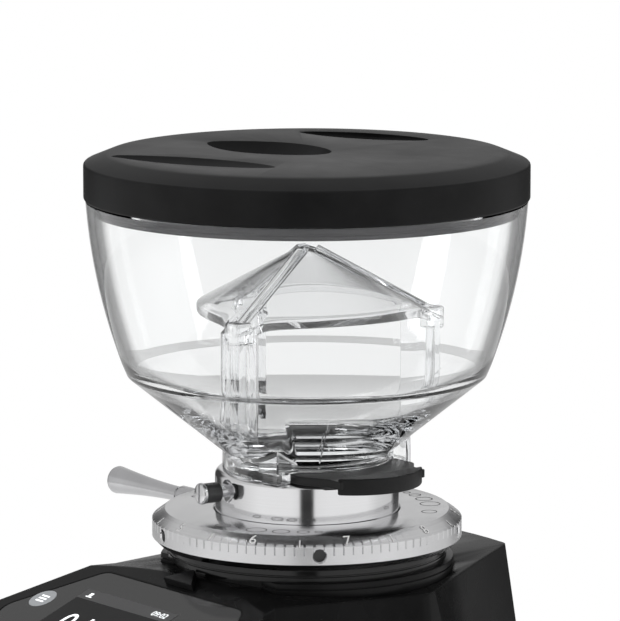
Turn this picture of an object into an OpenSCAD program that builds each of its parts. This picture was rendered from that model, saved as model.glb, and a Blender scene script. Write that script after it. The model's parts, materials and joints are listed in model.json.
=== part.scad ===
// On-demand burr coffee grinder: clear hopper, screw-adjusted flat burrs, direct-drive motor.
// Lengths are in millimetres and +Z is up. Heights in the burr group are taken from the upper
// edge of the adjustment ring's band, and plan positions from the burr axis.

/* [Placement] */
// Height of the upper edge of the adjustment ring's band above the counter
ring_z = 450; // [440:1:480]
// Height of the rubber feet
foot_h = 10; // [8:0.5:14]
// Radius of a rubber foot
foot_r = 13; // [10:0.5:16]

/* [Hopper lid] */
// How far the lid stands out beyond the bowl's rim
lid_overhang = 0.8; // [0.4:0.1:2]
// Height of the lid's upright wall
lid_wall_h = 14.6; // [12:0.2:18]
// Width of the lid's sloping edge
lid_bevel_w = 10.2; // [8:0.2:12]
// Height of the lid's sloping edge
lid_bevel_h = 5; // [4:0.2:6]
// Wall thickness of the lid
lid_t = 3; // [2.4:0.2:3.6]
// Depth of the finger scoop in the middle of the lid
scoop_deep = 13; // [8:0.5:14]
// Depth of the two outer scoops
scoop_shallow = 5; // [3:0.5:7]
// Length of the middle scoop
scoop_l = 72; // [60:1:76]
// Width of the middle scoop
scoop_w = 42; // [30:1:44]
// Length of an outer scoop
outer_scoop_l = 72; // [56:1:74]
// Width of an outer scoop
outer_scoop_w = 26; // [18:1:28]
// Direction in which the middle scoop runs, in degrees
scoop_angle = 12; // [0:1:30]
// How deep the lid's sealing ring reaches into the bowl
seal_drop = 5.6; // [4:0.2:8]

/* [Hopper bowl] */
// Height of the bowl's rim above the adjustment ring
bowl_rim_z = 138; // [132:1:146]
// Outer radius of the bowl's rim
bowl_rim_r = 94.2; // [92:0.2:96]
// Height of the shoulder where the bowl turns into its funnel
shoulder_z = 62.7; // [58:0.5:66]
// Outer radius of the shoulder
shoulder_r = 77.3; // [74:0.5:80]
// Outward bulge of the bowl's side between shoulder and rim
bowl_bulge = 3; // [1:0.5:5]
// Wall thickness of the bowl
bowl_t = 3; // [2.4:0.2:3.6]
// Angle of the funnel above the horizontal
funnel_angle = 39; // [36:0.5:42]
// Outer radius of the hopper's neck
neck_r = 36.3; // [35.6:0.1:37]
// Radius of the throat that the gate closes
throat_r = 25; // [22:0.5:26]
// Height of the gate housing above the collar
housing_h = 14.8; // [13:0.2:17]
// How far the gate housing reaches towards the pull side
housing_x = 26; // [22:0.5:30]
// Half of the gate housing's width
housing_hw = 36.5; // [35:0.5:38]
// Wall thickness of the gate housing
housing_t = 2; // [1.6:0.2:2.4]
// Outer radius of the spigot that sits inside the collar
spigot_r = 33.9; // [32:0.1:34]
// Length of the spigot
spigot_l = 18; // [14:0.5:22]

/* [Hopper gate] */
// Thickness of the gate plate
gate_t = 3.6; // [2.4:0.2:4]
// Half of the gate plate's width
gate_hw = 29; // [27.5:0.5:29.5]
// Clearance round the gate plate
gate_clear = 0.4; // [0.3:0.1:0.6]
// Height of the gate's grip
grip_h = 7; // [6:0.5:8]
// Half of the grip's width
grip_hw = 23; // [20:0.5:25]
// Distance of the grip's inner face from the burr axis when closed
grip_x = 49.6; // [47:0.2:52]
// Thickness of the grip at its middle
grip_d = 11.4; // [9:0.2:13]

/* [Bean guard] */
// Height of the guard's apex above the adjustment ring
guard_top_z = 118; // [112:1:122]
// Slope of the guard's canopy
guard_slope = 28.6; // [26:0.2:32]
// Distance of the canopy's corners from the axis
canopy_corner_r = 58.5; // [56:0.5:60]
// Distance of the middle of the canopy's sides from the axis
canopy_side_r = 49; // [47:0.5:51]
// Thickness of the canopy
canopy_t = 2.4; // [2:0.2:3]
// Outer radius of the guard's posts
post_r = 57; // [54:0.5:58]
// Depth of a post, measured along the radius
post_d = 17; // [12:0.5:18]
// Depth of the flanges beside a post's fin
post_flange_d = 6; // [5:0.5:8]
// Width of a post
post_w = 14.2; // [12:0.2:18]
// Depth of the rim under the canopy's edge
canopy_rim = 3.6; // [3:0.2:5]
// Height of the ribs along the canopy's corners
canopy_rib = 1; // [0.6:0.2:2]
// Wall thickness of a post's channel section
post_t = 2.2; // [1.8:0.2:3]
// Direction of the first post, in degrees
guard_angle = 50; // [0:5:120]

/* [Collar and adjustment ring] */
// Outer radius of the polished collar
collar_r = 39.5; // [39:0.1:40]
// Height of the collar above the adjustment ring's band
collar_z = 21.5; // [20:0.5:24]
// Radius of the collar's rounded edge
collar_round = 3; // [1:0.5:3]
// Outer radius of the adjustment ring's band
ring_r = 66.5; // [66:0.5:68]
// Height of the ring's grooved band
band_h = 7.5; // [6.5:0.5:9]
// Height of the chamfer under the band
ring_chamfer = 2.8; // [2:0.2:3]
// Radius of the ring's flat top
ring_top_r = 61; // [59:0.5:63]
// Height of the ring's flat top above its band
ring_top_z = 4; // [3:0.5:5]
// Number of holes for the lever
lever_holes = 5; // [3:1:8]
// Radius of a threaded lever hole
lever_hole_r = 2.5; // [2:0.1:2.8]
// Direction of the lever, in degrees
lever_angle = 182.4; // [90:0.1:270]
// Distance of the lever's tip from the burr axis
lever_tip_r = 131.5; // [120:0.5:145]
// Radius of the lever's flared end
lever_flare_r = 6.2; // [5:0.05:8]
// Radius of the lever's waist
lever_waist_r = 3.3; // [2.6:0.1:3.6]
// Length of the boss that screws against the ring
lever_boss_l = 19; // [15:0.5:22]
// Radius of that boss
lever_boss_r = 4.1; // [3.6:0.1:5]
// Outer radius of the ring's threaded skirt
skirt_r = 54; // [53:0.1:54.4]
// Pitch of the adjustment thread
thread_pitch = 1.5; // [1:0.25:2]

/* [Hopper lock screw] */
// Direction of the lock screw, in degrees
lock_angle = -97; // [-120:1:-60]
// Height of the lock screw above the adjustment ring's band
lock_z = 15; // [13:0.1:15.4]
// Distance of the screw's head from the burr axis
lock_head_r = 53.5; // [51:0.5:56]
// Radius of the screw's head
lock_knob_r = 4.6; // [4:0.1:5]
// Radius of the screw's shank
lock_shank_r = 2.5; // [2:0.1:3]

/* [Burrs] */
// Outer radius of a burr
burr_r = 32; // [30:0.5:33]
// Inner radius of a burr
burr_bore_r = 18; // [17:0.5:19]
// Thickness of a burr
burr_t = 8; // [7:0.5:9]
// Gap between the burrs at the stored setting
burr_gap = 0.4; // [0.35:0.05:0.6]
// Number of teeth on a burr
burr_teeth = 30; // [24:2:36]
// Screws that hold a burr
burr_screws = 3; // [3:1:3]
// Depth of the burr plane below the adjustment ring's band
burr_z = 44; // [43:0.5:46]

/* [Grinding chamber] */
// Outer radius of the chamber's visible rim
chamber_rim_r = 60; // [59:0.5:61]
// Outer radius of the chamber's body
chamber_r = 57; // [56:0.5:58]
// Inner radius of the chamber round the burrs
sweep_r = 38; // [37:0.5:40]
// Depth of the chamber's floor below the ring's band
floor_z = 64; // [62:1:66]
// Thickness of the chamber's floor
floor_t = 8; // [7:0.5:10]
// Radius of the flange plate under the chamber's rim
flange_r = 63; // [62:0.5:64]
// Distance of the flange plate's flat from the burr axis
flange_flat_y = 48.3; // [46:0.1:50]
// Depth of the flange plate's top below the ring's band
flange_z = 16.4; // [16:0.1:17]
// Thickness of the flange plate
flange_t = 7.6; // [7:0.1:9]
// Width of the ground coffee outlet
outlet_w = 34; // [30:1:38]

/* [Motor] */
// Outer radius of the stator
stator_r = 60; // [56:0.5:62]
// Height of the stator's lamination stack
stack_h = 60; // [54:1:66]
// Radius of the rotor
rotor_r = 35; // [32:0.5:38]
// Air gap between rotor and stator
air_gap = 0.6; // [0.4:0.1:0.8]
// Radius of the drive shaft in its bearings
shaft_r = 8.5; // [7.5:0.5:10]
// Outer radius of a bearing
bearing_r = 20; // [19:0.5:21]
// Width of a bearing
bearing_w = 12; // [11:0.5:14]
// Thickness of a motor end cap
cap_t = 13; // [13:0.5:15]
// Height of the windings beyond the stack
winding_h = 12; // [10:0.5:14]
// Radius of the cooling fan
fan_r = 48; // [42:1:54]
// Radius of the run capacitor's can
can_r = 18; // [15:0.5:20]
// Height of the run capacitor's can
can_h = 72; // [60:1:80]
// Distance of the run capacitor behind the burr axis
can_y = 86; // [84:1:90]
// Sideways distance of the run capacitor from the burr axis
can_x = 38; // [30:1:42]
// Number of fan blades
fan_blades = 9; // [7:2:13]

/* [Body casing] */
// Wall thickness of the casing
wall_t = 4; // [3.5:0.5:5]
// Depth of the crowned top below the ring's band
crown_z = 19; // [18.8:0.1:20]
// Radius of the crowned top
crown_r = 500; // [400:10:700]
// Distance from the burr axis to the front face
front_y = 66; // [65:0.5:68]
// Half of the front face's width at the top
front_hw = 54; // [53:0.5:56]
// Half of the casing's greatest width at the top
side_hw = 68; // [67:0.5:70]
// Half of the rear face's width at the top
rear_hw = 25; // [24:0.5:30]
// Distance from the burr axis to the rear face at the top
rear_y = 89.5; // [88:0.5:92]
// How much each side flares outwards down to the base
flare = 42; // [36:1:46]
// Radius of the casing's upright edges
edge_r = 4; // [2:0.5:5]
// Half of the rear cover's width
cover_hw = 42; // [38:1:46]
// Half of the rear cover's height
cover_hl = 86; // [76:1:92]
// Pitch of the rear cover's vents
vent_pitch = 8; // [6:0.5:10]

/* [Control head] */
// Slope of the control panel below the horizontal, in degrees
panel_slope = 22; // [20:0.5:24]
// Distance of the head's front from the burr axis
head_y = 152; // [148:1:156]
// Half of the head's greatest width
head_hw = 86; // [84:1:90]
// Half of the head's width at its front edge
head_front_hw = 66; // [60:1:72]
// Depth of the head's underside below the ring's band
head_z = 116; // [112:1:120]
// Width of the display
display_w = 64; // [58:1:68]
// Height of the display along the slope
display_l = 40; // [36:1:44]
// Sideways offset of the display
display_x = -12; // [-14:1:0]
// Thickness of the control glass
glass_t = 1.6; // [1.2:0.1:2]

/* [Outlet and portafilter holder] */
// Distance of the spout from the burr axis
spout_y = 118; // [116:1:120]
// Radius of the spout's mouth
spout_r = 16; // [14:0.5:18]
// Length of the spout below the head
spout_l = 38; // [30:1:44]
// Height of the fork's top above the counter
fork_z = 212; // [205:1:225]
// Length of the fork's arms
fork_l = 78; // [70:1:84]
// Width between the fork's arms
fork_gap = 62; // [60:1:66]
// Height of the dosing button above the fork
button_rise = 22; // [20:1:26]
// Travel of the dosing button
button_travel = 3; // [2:0.5:4]

/* [Base and tray] */
// Height of the top of the base above the counter
base_z = 30; // [28:1:34]
// Distance of the base's front from the burr axis
base_front_y = 215; // [208:1:225]
// Half of the base's width
base_hw = 113; // [110:1:116]
// Distance of the base's rear from the burr axis
base_rear_y = 136; // [134:1:140]
// Width of the grounds tray
tray_w = 168; // [150:2:176]
// Depth of the grounds tray from front to back
tray_l = 122; // [110:2:128]
// Wall thickness of the tray
tray_t = 2; // [1.6:0.2:2.4]
// How far the tray's pull stands out in front of the base
tray_lip = 4; // [2:1:6]

/* [Hidden] */
$fn = 96;

// Clearances that the fits share
run_clear = 0.05;
slide_clear = 0.3;
seat_gap = 0.1;
overcut = 1;
slab_t = 2;

// The frame's origin is the middle of the whole grinder's box, on the counter
lever_reach = -cos(lever_angle) * lever_tip_r + lever_flare_r * abs(sin(lever_angle));
burr_x = (lever_reach - base_hw) / 2;
burr_y = (base_front_y + tray_lip - base_rear_y) / 2;

// Hopper
lid_r = bowl_rim_r + lid_overhang;
rest_z = bowl_rim_z + seat_gap;
lid_top_z = rest_z + lid_wall_h + lid_bevel_h;
gate_z = collar_z + gate_clear;
slot_top_z = gate_z + gate_t + gate_clear;
shelf_t = 2;
guard_clear = 0.3;
funnel_slope = tan(funnel_angle);
funnel_drop = bowl_t / cos(funnel_angle);

// Burr group
collar_bore_r = spigot_r + 0.3;
ring_bore_r = collar_r + 0.4;
web_z = 3;
carrier_flange_r = 48.5;
carrier_flange_t = 8;
flange_top = -web_z - seat_gap;
flange_low = flange_top - carrier_flange_t;
spring_pocket = 4;
spring_r = 44;
ledge_z = 36;
upper_burr_z = -burr_z;
lower_burr_z = -burr_z - burr_gap;
carrier_disc_t = 7;
bean_bore_r = burr_bore_r - 1;
nut_r = 9;
nut_h = 7;
top_stub_r = shaft_r - 1.5;
tooth_depth = 2.2;
screw_pcd_r = (burr_r + burr_bore_r) / 2;
burr_screw_r = 2;

outlet_y = chamber_r + 1;
grid_t = 1.8;
duct_y = outlet_y + grid_t + 2 * seat_gap;

// Motor
motor_top_z = -floor_z - floor_t;
stack_z = motor_top_z - cap_t - winding_h - 2;
lower_cap_z = stack_z - stack_h - winding_h - 2 - cap_t;
shaft_end_z = lower_cap_z - 22;
bolt_ring_r = stator_r - 4;

// Casing
column_top_z = ring_z - 10;
column_h = column_top_z - base_z;
rear_tilt = atan(flare / column_h);
deck_z = flange_z + flange_t;
ear_z = deck_z + 10;
panel_t = 3.5;
ear_r = 7;
ear_t = 7;
ear_pcd_r = 65;
ear_spots = [for (a = [-136.4, -43.6, 64.2, 115.8]) [ear_pcd_r * cos(a), ear_pcd_r * sin(a)]];
tray_floor_z = base_z - 13;
board_w = 104;
board_l = 52;
board_drop = 11.4;

function mirrored(points) = concat(points, [for (i = [len(points) - 1:-1:0]) [-points[i][0], points[i][1]]]);

// Points along an arc from p to q that bulges by b to the right of the way from p to q
function arc_points(p, q, b, n) =
    let (c = norm(q - p), r = (c * c / 4 + b * b) / (2 * b), half = asin(c / 2 / r),
         u = (q - p) / c, v = [u[1], -u[0]])
    [for (i = [0:n])
        let (a = -half + 2 * half * i / n)
        (p + q) / 2 + u * r * sin(a) + v * (r * cos(a) - r + b)];

top_outline = mirrored([[front_hw, -front_y], [side_hw, 10], [rear_hw, rear_y]]);
foot_outline = mirrored([
    [front_hw + flare, -front_y], [side_hw + flare, 20], [rear_hw + flare, rear_y + flare]
]);
head_outline = mirrored([
    [front_hw, -front_y + 12], [front_hw, -front_y], [head_hw - 5, -front_y - 38],
    [head_hw, -front_y - 52], [head_front_hw, -head_y]
]);
head_low_outline = mirrored([
    [front_hw - 4, -front_y + 12], [front_hw - 4, -front_y], [head_hw - 26, -front_y - 40],
    [head_front_hw - 24, -head_y + 14]
]);
base_outline = mirrored([
    [base_hw - 26, -base_front_y], [base_hw, -base_front_y + 30], [base_hw, 24],
    [rear_hw + flare + 3, base_rear_y]
]);

module from_counter() {
    translate([burr_x, burr_y, 0]) children();
}

module from_ring() {
    translate([burr_x, burr_y, ring_z]) children();
}

module disc(r, z0, z1) {
    translate([0, 0, z0]) cylinder(r = r, h = z1 - z0);
}

module tube(r, bore, z0, z1) {
    difference() {
        disc(r, z0, z1);
        disc(bore, z0 - overcut, z1 + overcut);
    }
}

module block(x0, x1, y0, y1, z0, z1) {
    translate([x0, y0, z0]) cube([x1 - x0, y1 - y0, z1 - z0]);
}

module slab(points, z, inset) {
    translate([0, 0, z]) linear_extrude(slab_t)
        if (inset > 0) offset(delta = -inset) polygon(points);
        else offset(r = edge_r, $fn = 24) offset(delta = -edge_r) polygon(points);
}

module around(n, r, first = 0) {
    for (i = [0:n - 1]) rotate([0, 0, first + i * 360 / n]) translate([r, 0, 0]) children();
}

// Everything on the panel's slope is drawn flat and laid on it: x across, y up the slope, z out of it
panel_y = -front_y - 2;
panel_z = -crown_z - (front_hw * front_hw) / (2 * crown_r);
module on_panel() {
    translate([0, panel_y, panel_z]) rotate([panel_slope, 0, 0]) children();
}

// ---- Hopper lid ----

module leaf(l, w, z0, z1) {
    r = (l * l + w * w) / (4 * w);
    intersection() {
        translate([0, r - w / 2, 0]) disc(r, z0, z1);
        translate([0, w / 2 - r, 0]) disc(r, z0, z1);
    }
}

// Each scoop: its centre as shares of the lid's radius, length, width, depth and extra turn
scoop_spots = [
    [-0.21, -0.05, scoop_l, scoop_w, scoop_deep, 0],
    [-0.28, 0.55, outer_scoop_l, outer_scoop_w, scoop_shallow, 12],
    [0.02, -0.61, outer_scoop_l, outer_scoop_w, scoop_shallow, 9]
];

module scoops(grow, extra) {
    for (p = scoop_spots) translate([p[0] * lid_r, p[1] * lid_r, 0]) rotate([0, 0, scoop_angle + p[5]])
        leaf(p[2] + 2 * grow, p[3] + 2 * grow, lid_top_z - p[4] - grow, lid_top_z + extra);
}

module hopper_lid() {
    inner_r = bowl_rim_r - bowl_t - 1.2;
    color("#1c1c1d") from_ring() difference() {
        union() {
            rotate_extrude() polygon([
                [inner_r - lid_t, rest_z], [lid_r - 1, rest_z], [lid_r, rest_z + 1],
                [lid_r, rest_z + lid_wall_h], [lid_r - lid_bevel_w, lid_top_z - 0.5],
                [lid_r - lid_bevel_w - 4, lid_top_z], [0, lid_top_z], [0, lid_top_z - lid_t],
                [lid_r - lid_bevel_w - 4, lid_top_z - lid_t],
                [inner_r - lid_t, rest_z + lid_wall_h - lid_t]
            ]);
            scoops(lid_t, -overcut);
        }
        scoops(0, overcut);
    }
}

module lid_seal() {
    inner_r = bowl_rim_r - bowl_t - 1.2;
    color("#4a4a4c") from_ring() rotate_extrude() polygon([
        [inner_r - 5, rest_z], [inner_r - 5, rest_z - seal_drop + 1], [inner_r - 4, rest_z - seal_drop],
        [inner_r - 0.6, rest_z - seal_drop], [inner_r, rest_z - seal_drop + 0.8], [inner_r, rest_z]
    ]);
}

// ---- Hopper bowl, guard and gate ----

bowl_outside = arc_points([shoulder_r, shoulder_z], [bowl_rim_r, bowl_rim_z], bowl_bulge, 10);
bowl_inside = [for (p = bowl_outside) [p[0] - bowl_t, p[1]]];
funnel_in_z = shoulder_z + 1.6;
throat_z = slot_top_z + shelf_t;
funnel_end_r = shoulder_r - bowl_t - (funnel_in_z - throat_z) / funnel_slope;

module bowl_cavity(clear) {
    rotate_extrude() polygon(concat(
        [[0, throat_z + clear], [funnel_end_r - clear, throat_z + clear],
         [shoulder_r - bowl_t - clear, funnel_in_z + clear]],
        [for (i = [1:len(bowl_inside) - 1]) [bowl_inside[i][0] - clear, bowl_inside[i][1]]],
        [[bowl_rim_r - bowl_t - clear, bowl_rim_z + overcut], [0, bowl_rim_z + overcut]]
    ));
}

module hopper_bowl() {
    neck_top_z = shoulder_z - (shoulder_r - neck_r) * funnel_slope;
    color("#dfe6ea", 0.3) from_ring() difference() {
        union() {
            rotate_extrude() polygon(concat(
                [[0, collar_z + seat_gap], [neck_r, collar_z + seat_gap], [neck_r, neck_top_z]],
                bowl_outside, [[0, bowl_rim_z]]
            ));
            disc(spigot_r, collar_z - spigot_l, collar_z + seat_gap);
            intersection() {
                block(-4, housing_x, -housing_hw, housing_hw, collar_z + seat_gap, collar_z + housing_h);
                rotate_extrude() polygon([
                    [0, collar_z], [housing_hw + 22, collar_z], [housing_hw + 22, collar_z + housing_h],
                    [0, collar_z + housing_h]
                ]);
            }
        }
        bowl_cavity(0);
        disc(throat_r, collar_z - spigot_l - overcut, bowl_rim_z);
        housing_hollow(neck_top_z);
        block(-gate_hw - gate_clear, lid_r, -gate_hw - gate_clear, gate_hw + gate_clear,
              collar_z, slot_top_z);
    }
}

// The space behind the gate housing's front wall, outside the funnel
module housing_hollow(neck_top_z) {
    top_z = collar_z + housing_h;
    difference() {
        block(0, housing_x - housing_t, -housing_hw + housing_t, housing_hw - housing_t,
              slot_top_z - overcut, top_z - housing_t);
        rotate_extrude() polygon([
            [0, 0], [neck_r - 2, 0], [neck_r - 2, neck_top_z],
            [neck_r + 20, neck_top_z + 22 * funnel_slope], [0, neck_top_z + 22 * funnel_slope]
        ]);
    }
}

module guard_cone(drop, reach) {
    rotate_extrude() polygon([
        [0, throat_z], [reach, throat_z], [reach, guard_top_z - reach * tan(guard_slope) - drop],
        [3, guard_top_z - 3 * tan(guard_slope) - drop], [0, guard_top_z - 1 - drop]
    ]);
}

module canopy_outline(inset, z0, z1) {
    side = canopy_side_r - inset;
    corner = canopy_corner_r - inset;
    back = (corner * corner - side * side) / (2 * side - corner);
    intersection_for (i = [0:2]) rotate([0, 0, guard_angle + 60 + 120 * i])
        translate([-back, 0, 0]) disc(side + back, z0, z1);
}

module guard_post() {
    inner = post_r - post_flange_d;
    block(post_r - post_t, post_r, -post_w / 2, post_w / 2, throat_z, guard_top_z);
    for (s = [-1, 1]) translate([0, s * (post_w - post_t) / 2, 0])
        block(inner, post_r - 0.5, -post_t / 2, post_t / 2, throat_z, guard_top_z);
    block(post_r - post_d, post_r - 0.5, -post_t / 2, post_t / 2, throat_z, guard_top_z);
}

// A rib along the slope to a corner, which ends in a round cap over the post
module guard_rib() {
    cap_r = 5.2;
    end = canopy_corner_r - cap_r;
    end_z = guard_top_z - end * tan(guard_slope);
    translate([0, 0, guard_top_z]) rotate([0, guard_slope, 0])
        block(6, end / cos(guard_slope), -1.6, 1.6, -canopy_t / 2, canopy_rib);
    translate([end, 0, 0]) disc(cap_r, end_z - 8, end_z + canopy_rib);
}

module bean_guard() {
    color("#e4e9ec", 0.35) from_ring() {
        difference() {
            intersection() {
                guard_cone(0, canopy_corner_r + 1);
                canopy_outline(0, throat_z, guard_top_z + 1);
            }
            guard_cone(canopy_rim, canopy_corner_r + 6);
            intersection() {
                guard_cone(canopy_t, canopy_corner_r + 6);
                canopy_outline(canopy_t, throat_z - 1, guard_top_z + 1);
            }
        }
        for (i = [0:2]) rotate([0, 0, guard_angle + 120 * i]) guard_rib();
        intersection() {
            bowl_cavity(guard_clear);
            guard_cone(canopy_t / 2, canopy_corner_r + 4);
            for (i = [0:2]) rotate([0, 0, guard_angle + 120 * i]) guard_post();
        }
    }
}

module hopper_gate() {
    arc_r = (grip_hw * grip_hw + grip_d * grip_d) / (2 * grip_d);
    top_z = gate_z + gate_t;
    color("#141414") from_ring() {
        block(-4, grip_x + overcut, -gate_hw + 6, gate_hw - 6, gate_z, top_z);
        block(-4, 40, -gate_hw, gate_hw, gate_z, top_z);
        intersection() {
            disc(gate_hw, gate_z, top_z);
            block(-gate_hw, 0, -gate_hw, gate_hw, gate_z, top_z);
        }
        intersection() {
            translate([grip_x + grip_d - arc_r, 0, 0]) disc(arc_r, top_z - grip_h + 1, top_z + 1);
            block(grip_x, grip_x + grip_d + overcut, -grip_hw, grip_hw, 0, top_z + grip_h);
        }
    }
}

// ---- Hopper lock screw ----

module along_lock() {
    rotate([0, 0, lock_angle]) translate([0, 0, lock_z]) rotate([0, 90, 0]) children();
}

module lock_screw() {
    slot = 1.2;
    color("#c9cbcd") from_ring() along_lock() difference() {
        union() {
            disc(lock_shank_r, spigot_r + seat_gap, lock_head_r - 1);
            disc(lock_knob_r, lock_head_r - 2.2, lock_head_r - 0.5);
            disc(lock_knob_r - 0.5, lock_head_r - 1, lock_head_r);
        }
        block(-lock_knob_r - overcut, lock_knob_r + overcut, -slot / 2, slot / 2,
              lock_head_r - 1.2, lock_head_r + overcut);
    }
}

module lock_knob() {
    from = collar_r + 4.4;
    color("#1a1a1a") from_ring() along_lock() difference() {
        tube(lock_knob_r - 0.3, lock_shank_r, from, lock_head_r - 2.2);
        translate([0, 0, (from + lock_head_r) / 2 - 1]) rotate([90, 0, 0])
            disc(0.9, lock_shank_r, lock_knob_r + overcut);
    }
}

// ---- Upper burr carrier and adjustment ring ----

module upper_burr_carrier() {
    seat_z = upper_burr_z + burr_t;
    rim_r = burr_r + 1.4;
    spigot_floor = collar_z - spigot_l - 1;
    throat = throat_r - 1;
    color("#cfd1d3") from_ring() difference() {
        rotate_extrude() polygon(concat(
            [[bean_bore_r, seat_z], [burr_r + run_clear, seat_z], [burr_r + run_clear, seat_z - 2],
             [rim_r, seat_z - 2], [rim_r, flange_low], [carrier_flange_r, flange_low],
             [carrier_flange_r, flange_top], [collar_r, flange_top]],
            [for (a = [0:15:90]) [collar_r - collar_round * (1 - cos(a)),
                                  collar_z - collar_round * (1 - sin(a))]],
            [[collar_bore_r, collar_z], [collar_bore_r, spigot_floor], [throat, spigot_floor],
             [throat, spigot_floor - 2], [bean_bore_r, flange_low]]
        ));
        around(3, spring_r, 30) disc(3.6, flange_low - overcut, flange_low + spring_pocket);
        around(burr_screws, screw_pcd_r, 90) disc(burr_screw_r, seat_z - overcut, seat_z + 8);
        along_lock() disc(lock_shank_r + run_clear, collar_bore_r - 3, collar_r + overcut);
        along_lock() translate([0, 0, collar_r - 3]) cylinder(r1 = lock_shank_r + 0.5, r2 = 5.8, h = 4);
    }
}

module burr() {
    difference() {
        rotate_extrude() polygon([
            [burr_bore_r, 0], [burr_bore_r, burr_t - 3], [burr_bore_r + 6, burr_t - 0.4],
            [burr_r - 3, burr_t], [burr_r, burr_t], [burr_r, 0]
        ]);
        for (i = [0:burr_teeth - 1]) rotate([0, 0, i * 360 / burr_teeth])
            translate([burr_bore_r - 4, 5, burr_t]) rotate([0, 6, -16])
                rotate([30, 0, 0]) block(0, burr_r - burr_bore_r + 1, -1.1, 1.1, -tooth_depth, 4);
        around(burr_screws, screw_pcd_r, 90) {
            disc(burr_screw_r + 0.2, -overcut, burr_t + overcut);
            disc(3.8, burr_t - 4.6, burr_t + overcut);
        }
    }
}

module upper_burr() {
    color("#8f9193") from_ring() translate([0, 0, upper_burr_z + burr_t]) mirror([0, 0, 1]) burr();
}

module burr_screw_set(length) {
    around(burr_screws, screw_pcd_r, 90) difference() {
        union() {
            disc(burr_screw_r, -length, burr_t - 4.6);
            disc(3.5, burr_t - 4.6, burr_t - 2.4);
        }
        translate([0, 0, burr_t - 3.6]) cylinder(r = 1.4, h = 3, $fn = 6);
    }
}

module upper_burr_screws() {
    color("#6f7174") from_ring() translate([0, 0, upper_burr_z + burr_t]) mirror([0, 0, 1])
        burr_screw_set(7.6);
}

module adjustment_ring() {
    lever_z = -band_h / 2;
    color("#d2d3d5") from_ring() difference() {
        union() {
            rotate_extrude() polygon([
                [ring_bore_r, -web_z], [ring_bore_r, ring_top_z], [ring_top_r, ring_top_z],
                [ring_r, 0], [ring_r, -band_h], [ring_r - ring_chamfer, -band_h - ring_chamfer],
                [carrier_flange_r + 1, -band_h - ring_chamfer], [carrier_flange_r + 1, -web_z]
            ]);
            tube(skirt_r, carrier_flange_r + 1, -band_h - 19, -band_h - ring_chamfer + 0.01);
        }
        around(lever_holes, 0, lever_angle) translate([0, 0, lever_z]) rotate([0, 90, 0])
            disc(lever_hole_r, ring_r - 12, ring_r + overcut);
        around(lever_holes, 0, lever_angle) translate([0, 0, lever_z]) rotate([0, 90, 0])
            translate([0, 0, ring_r - 1]) cylinder(r1 = lever_hole_r, r2 = lever_hole_r + 1.4, h = 1.4);
    }
}

module ring_lever() {
    boss_end = ring_r + lever_boss_l;
    neck = 1.2;
    stem_l = lever_tip_r - boss_end - neck - 1.8;
    color("#d6d7d9") from_ring() rotate([0, 0, lever_angle]) translate([0, 0, -band_h / 2])
        rotate([0, 90, 0]) {
            disc(lever_hole_r - run_clear, ring_r - 10, ring_r + 1);
            rotate_extrude() polygon(concat(
                [[0, ring_r + 0.2], [lever_boss_r - 0.8, ring_r + 0.2], [lever_boss_r, ring_r + 1.2],
                 [lever_boss_r, boss_end - 1], [lever_boss_r - 0.6, boss_end],
                 [lever_waist_r - 0.3, boss_end], [lever_waist_r - 0.3, boss_end + neck]],
                [for (i = [0:8]) let (k = i / 8)
                    [lever_waist_r + (lever_flare_r - lever_waist_r) * pow(k, 1.7),
                     boss_end + neck + k * stem_l]],
                [[lever_flare_r - 0.8, lever_tip_r - 0.6], [lever_flare_r - 2.2, lever_tip_r]],
                [[0, lever_tip_r]]
            ));
        }
}

module carrier_springs() {
    wire = 0.8;
    color("#b0b2b4") from_ring() around(3, spring_r, 30)
        tube(3.2, 3.2 - wire, -ledge_z, flange_low + spring_pocket);
}

// ---- Lower burr, its carrier and the drive shaft ----

module lower_burr() {
    color("#8f9193") from_ring() translate([0, 0, lower_burr_z - burr_t]) burr();
}

module lower_burr_screws() {
    color("#6f7174") from_ring() translate([0, 0, lower_burr_z - burr_t]) burr_screw_set(6);
}

module lower_burr_carrier() {
    seat_z = lower_burr_z - burr_t;
    low_z = -floor_z + 1;
    color("#a9abad") from_ring() difference() {
        union() {
            disc(burr_r + 1.5, seat_z - carrier_disc_t + 1, seat_z);
            disc(burr_bore_r - 0.2, seat_z - overcut, seat_z + 2);
            disc(15, low_z, seat_z - overcut);
            for (i = [0:3]) rotate([0, 0, 45 + 90 * i])
                block(12, sweep_r - 1, -2.5, 2.5, low_z, seat_z - 1);
            for (i = [0:2]) rotate([0, 0, 120 * i])
                block(nut_r + 1, burr_bore_r - 1, -1.5, 1.5, seat_z, seat_z + 5);
        }
        disc(top_stub_r + run_clear, low_z - overcut, seat_z + 9);
        around(burr_screws, screw_pcd_r, 90) disc(burr_screw_r, seat_z - 6, seat_z + overcut);
    }
}

module carrier_nut() {
    seat_z = lower_burr_z - burr_t + 2;
    color("#8a8c8f") from_ring() difference() {
        translate([0, 0, seat_z]) cylinder(r = nut_r, h = nut_h, $fn = 6);
        disc(top_stub_r, seat_z - overcut, seat_z + nut_h + overcut);
    }
}

module drive_shaft() {
    shoulder = -floor_z + 1;
    color("#b7b9bb") from_ring() {
        disc(shaft_r, shaft_end_z, shoulder);
        disc(top_stub_r, shoulder - overcut, lower_burr_z - burr_t + 2 + nut_h + 1.5);
    }
}

module shaft_seal() {
    color("#2a2a2c") from_ring() tube(14, shaft_r + 0.1, -floor_z - floor_t, -floor_z - 1);
}

module upper_bearing() {
    top = motor_top_z - 1;
    color("#9b9da0") from_ring() bearing(top - bearing_w);
}

module lower_bearing() {
    color("#9b9da0") from_ring() bearing(lower_cap_z + 1);
}

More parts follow.
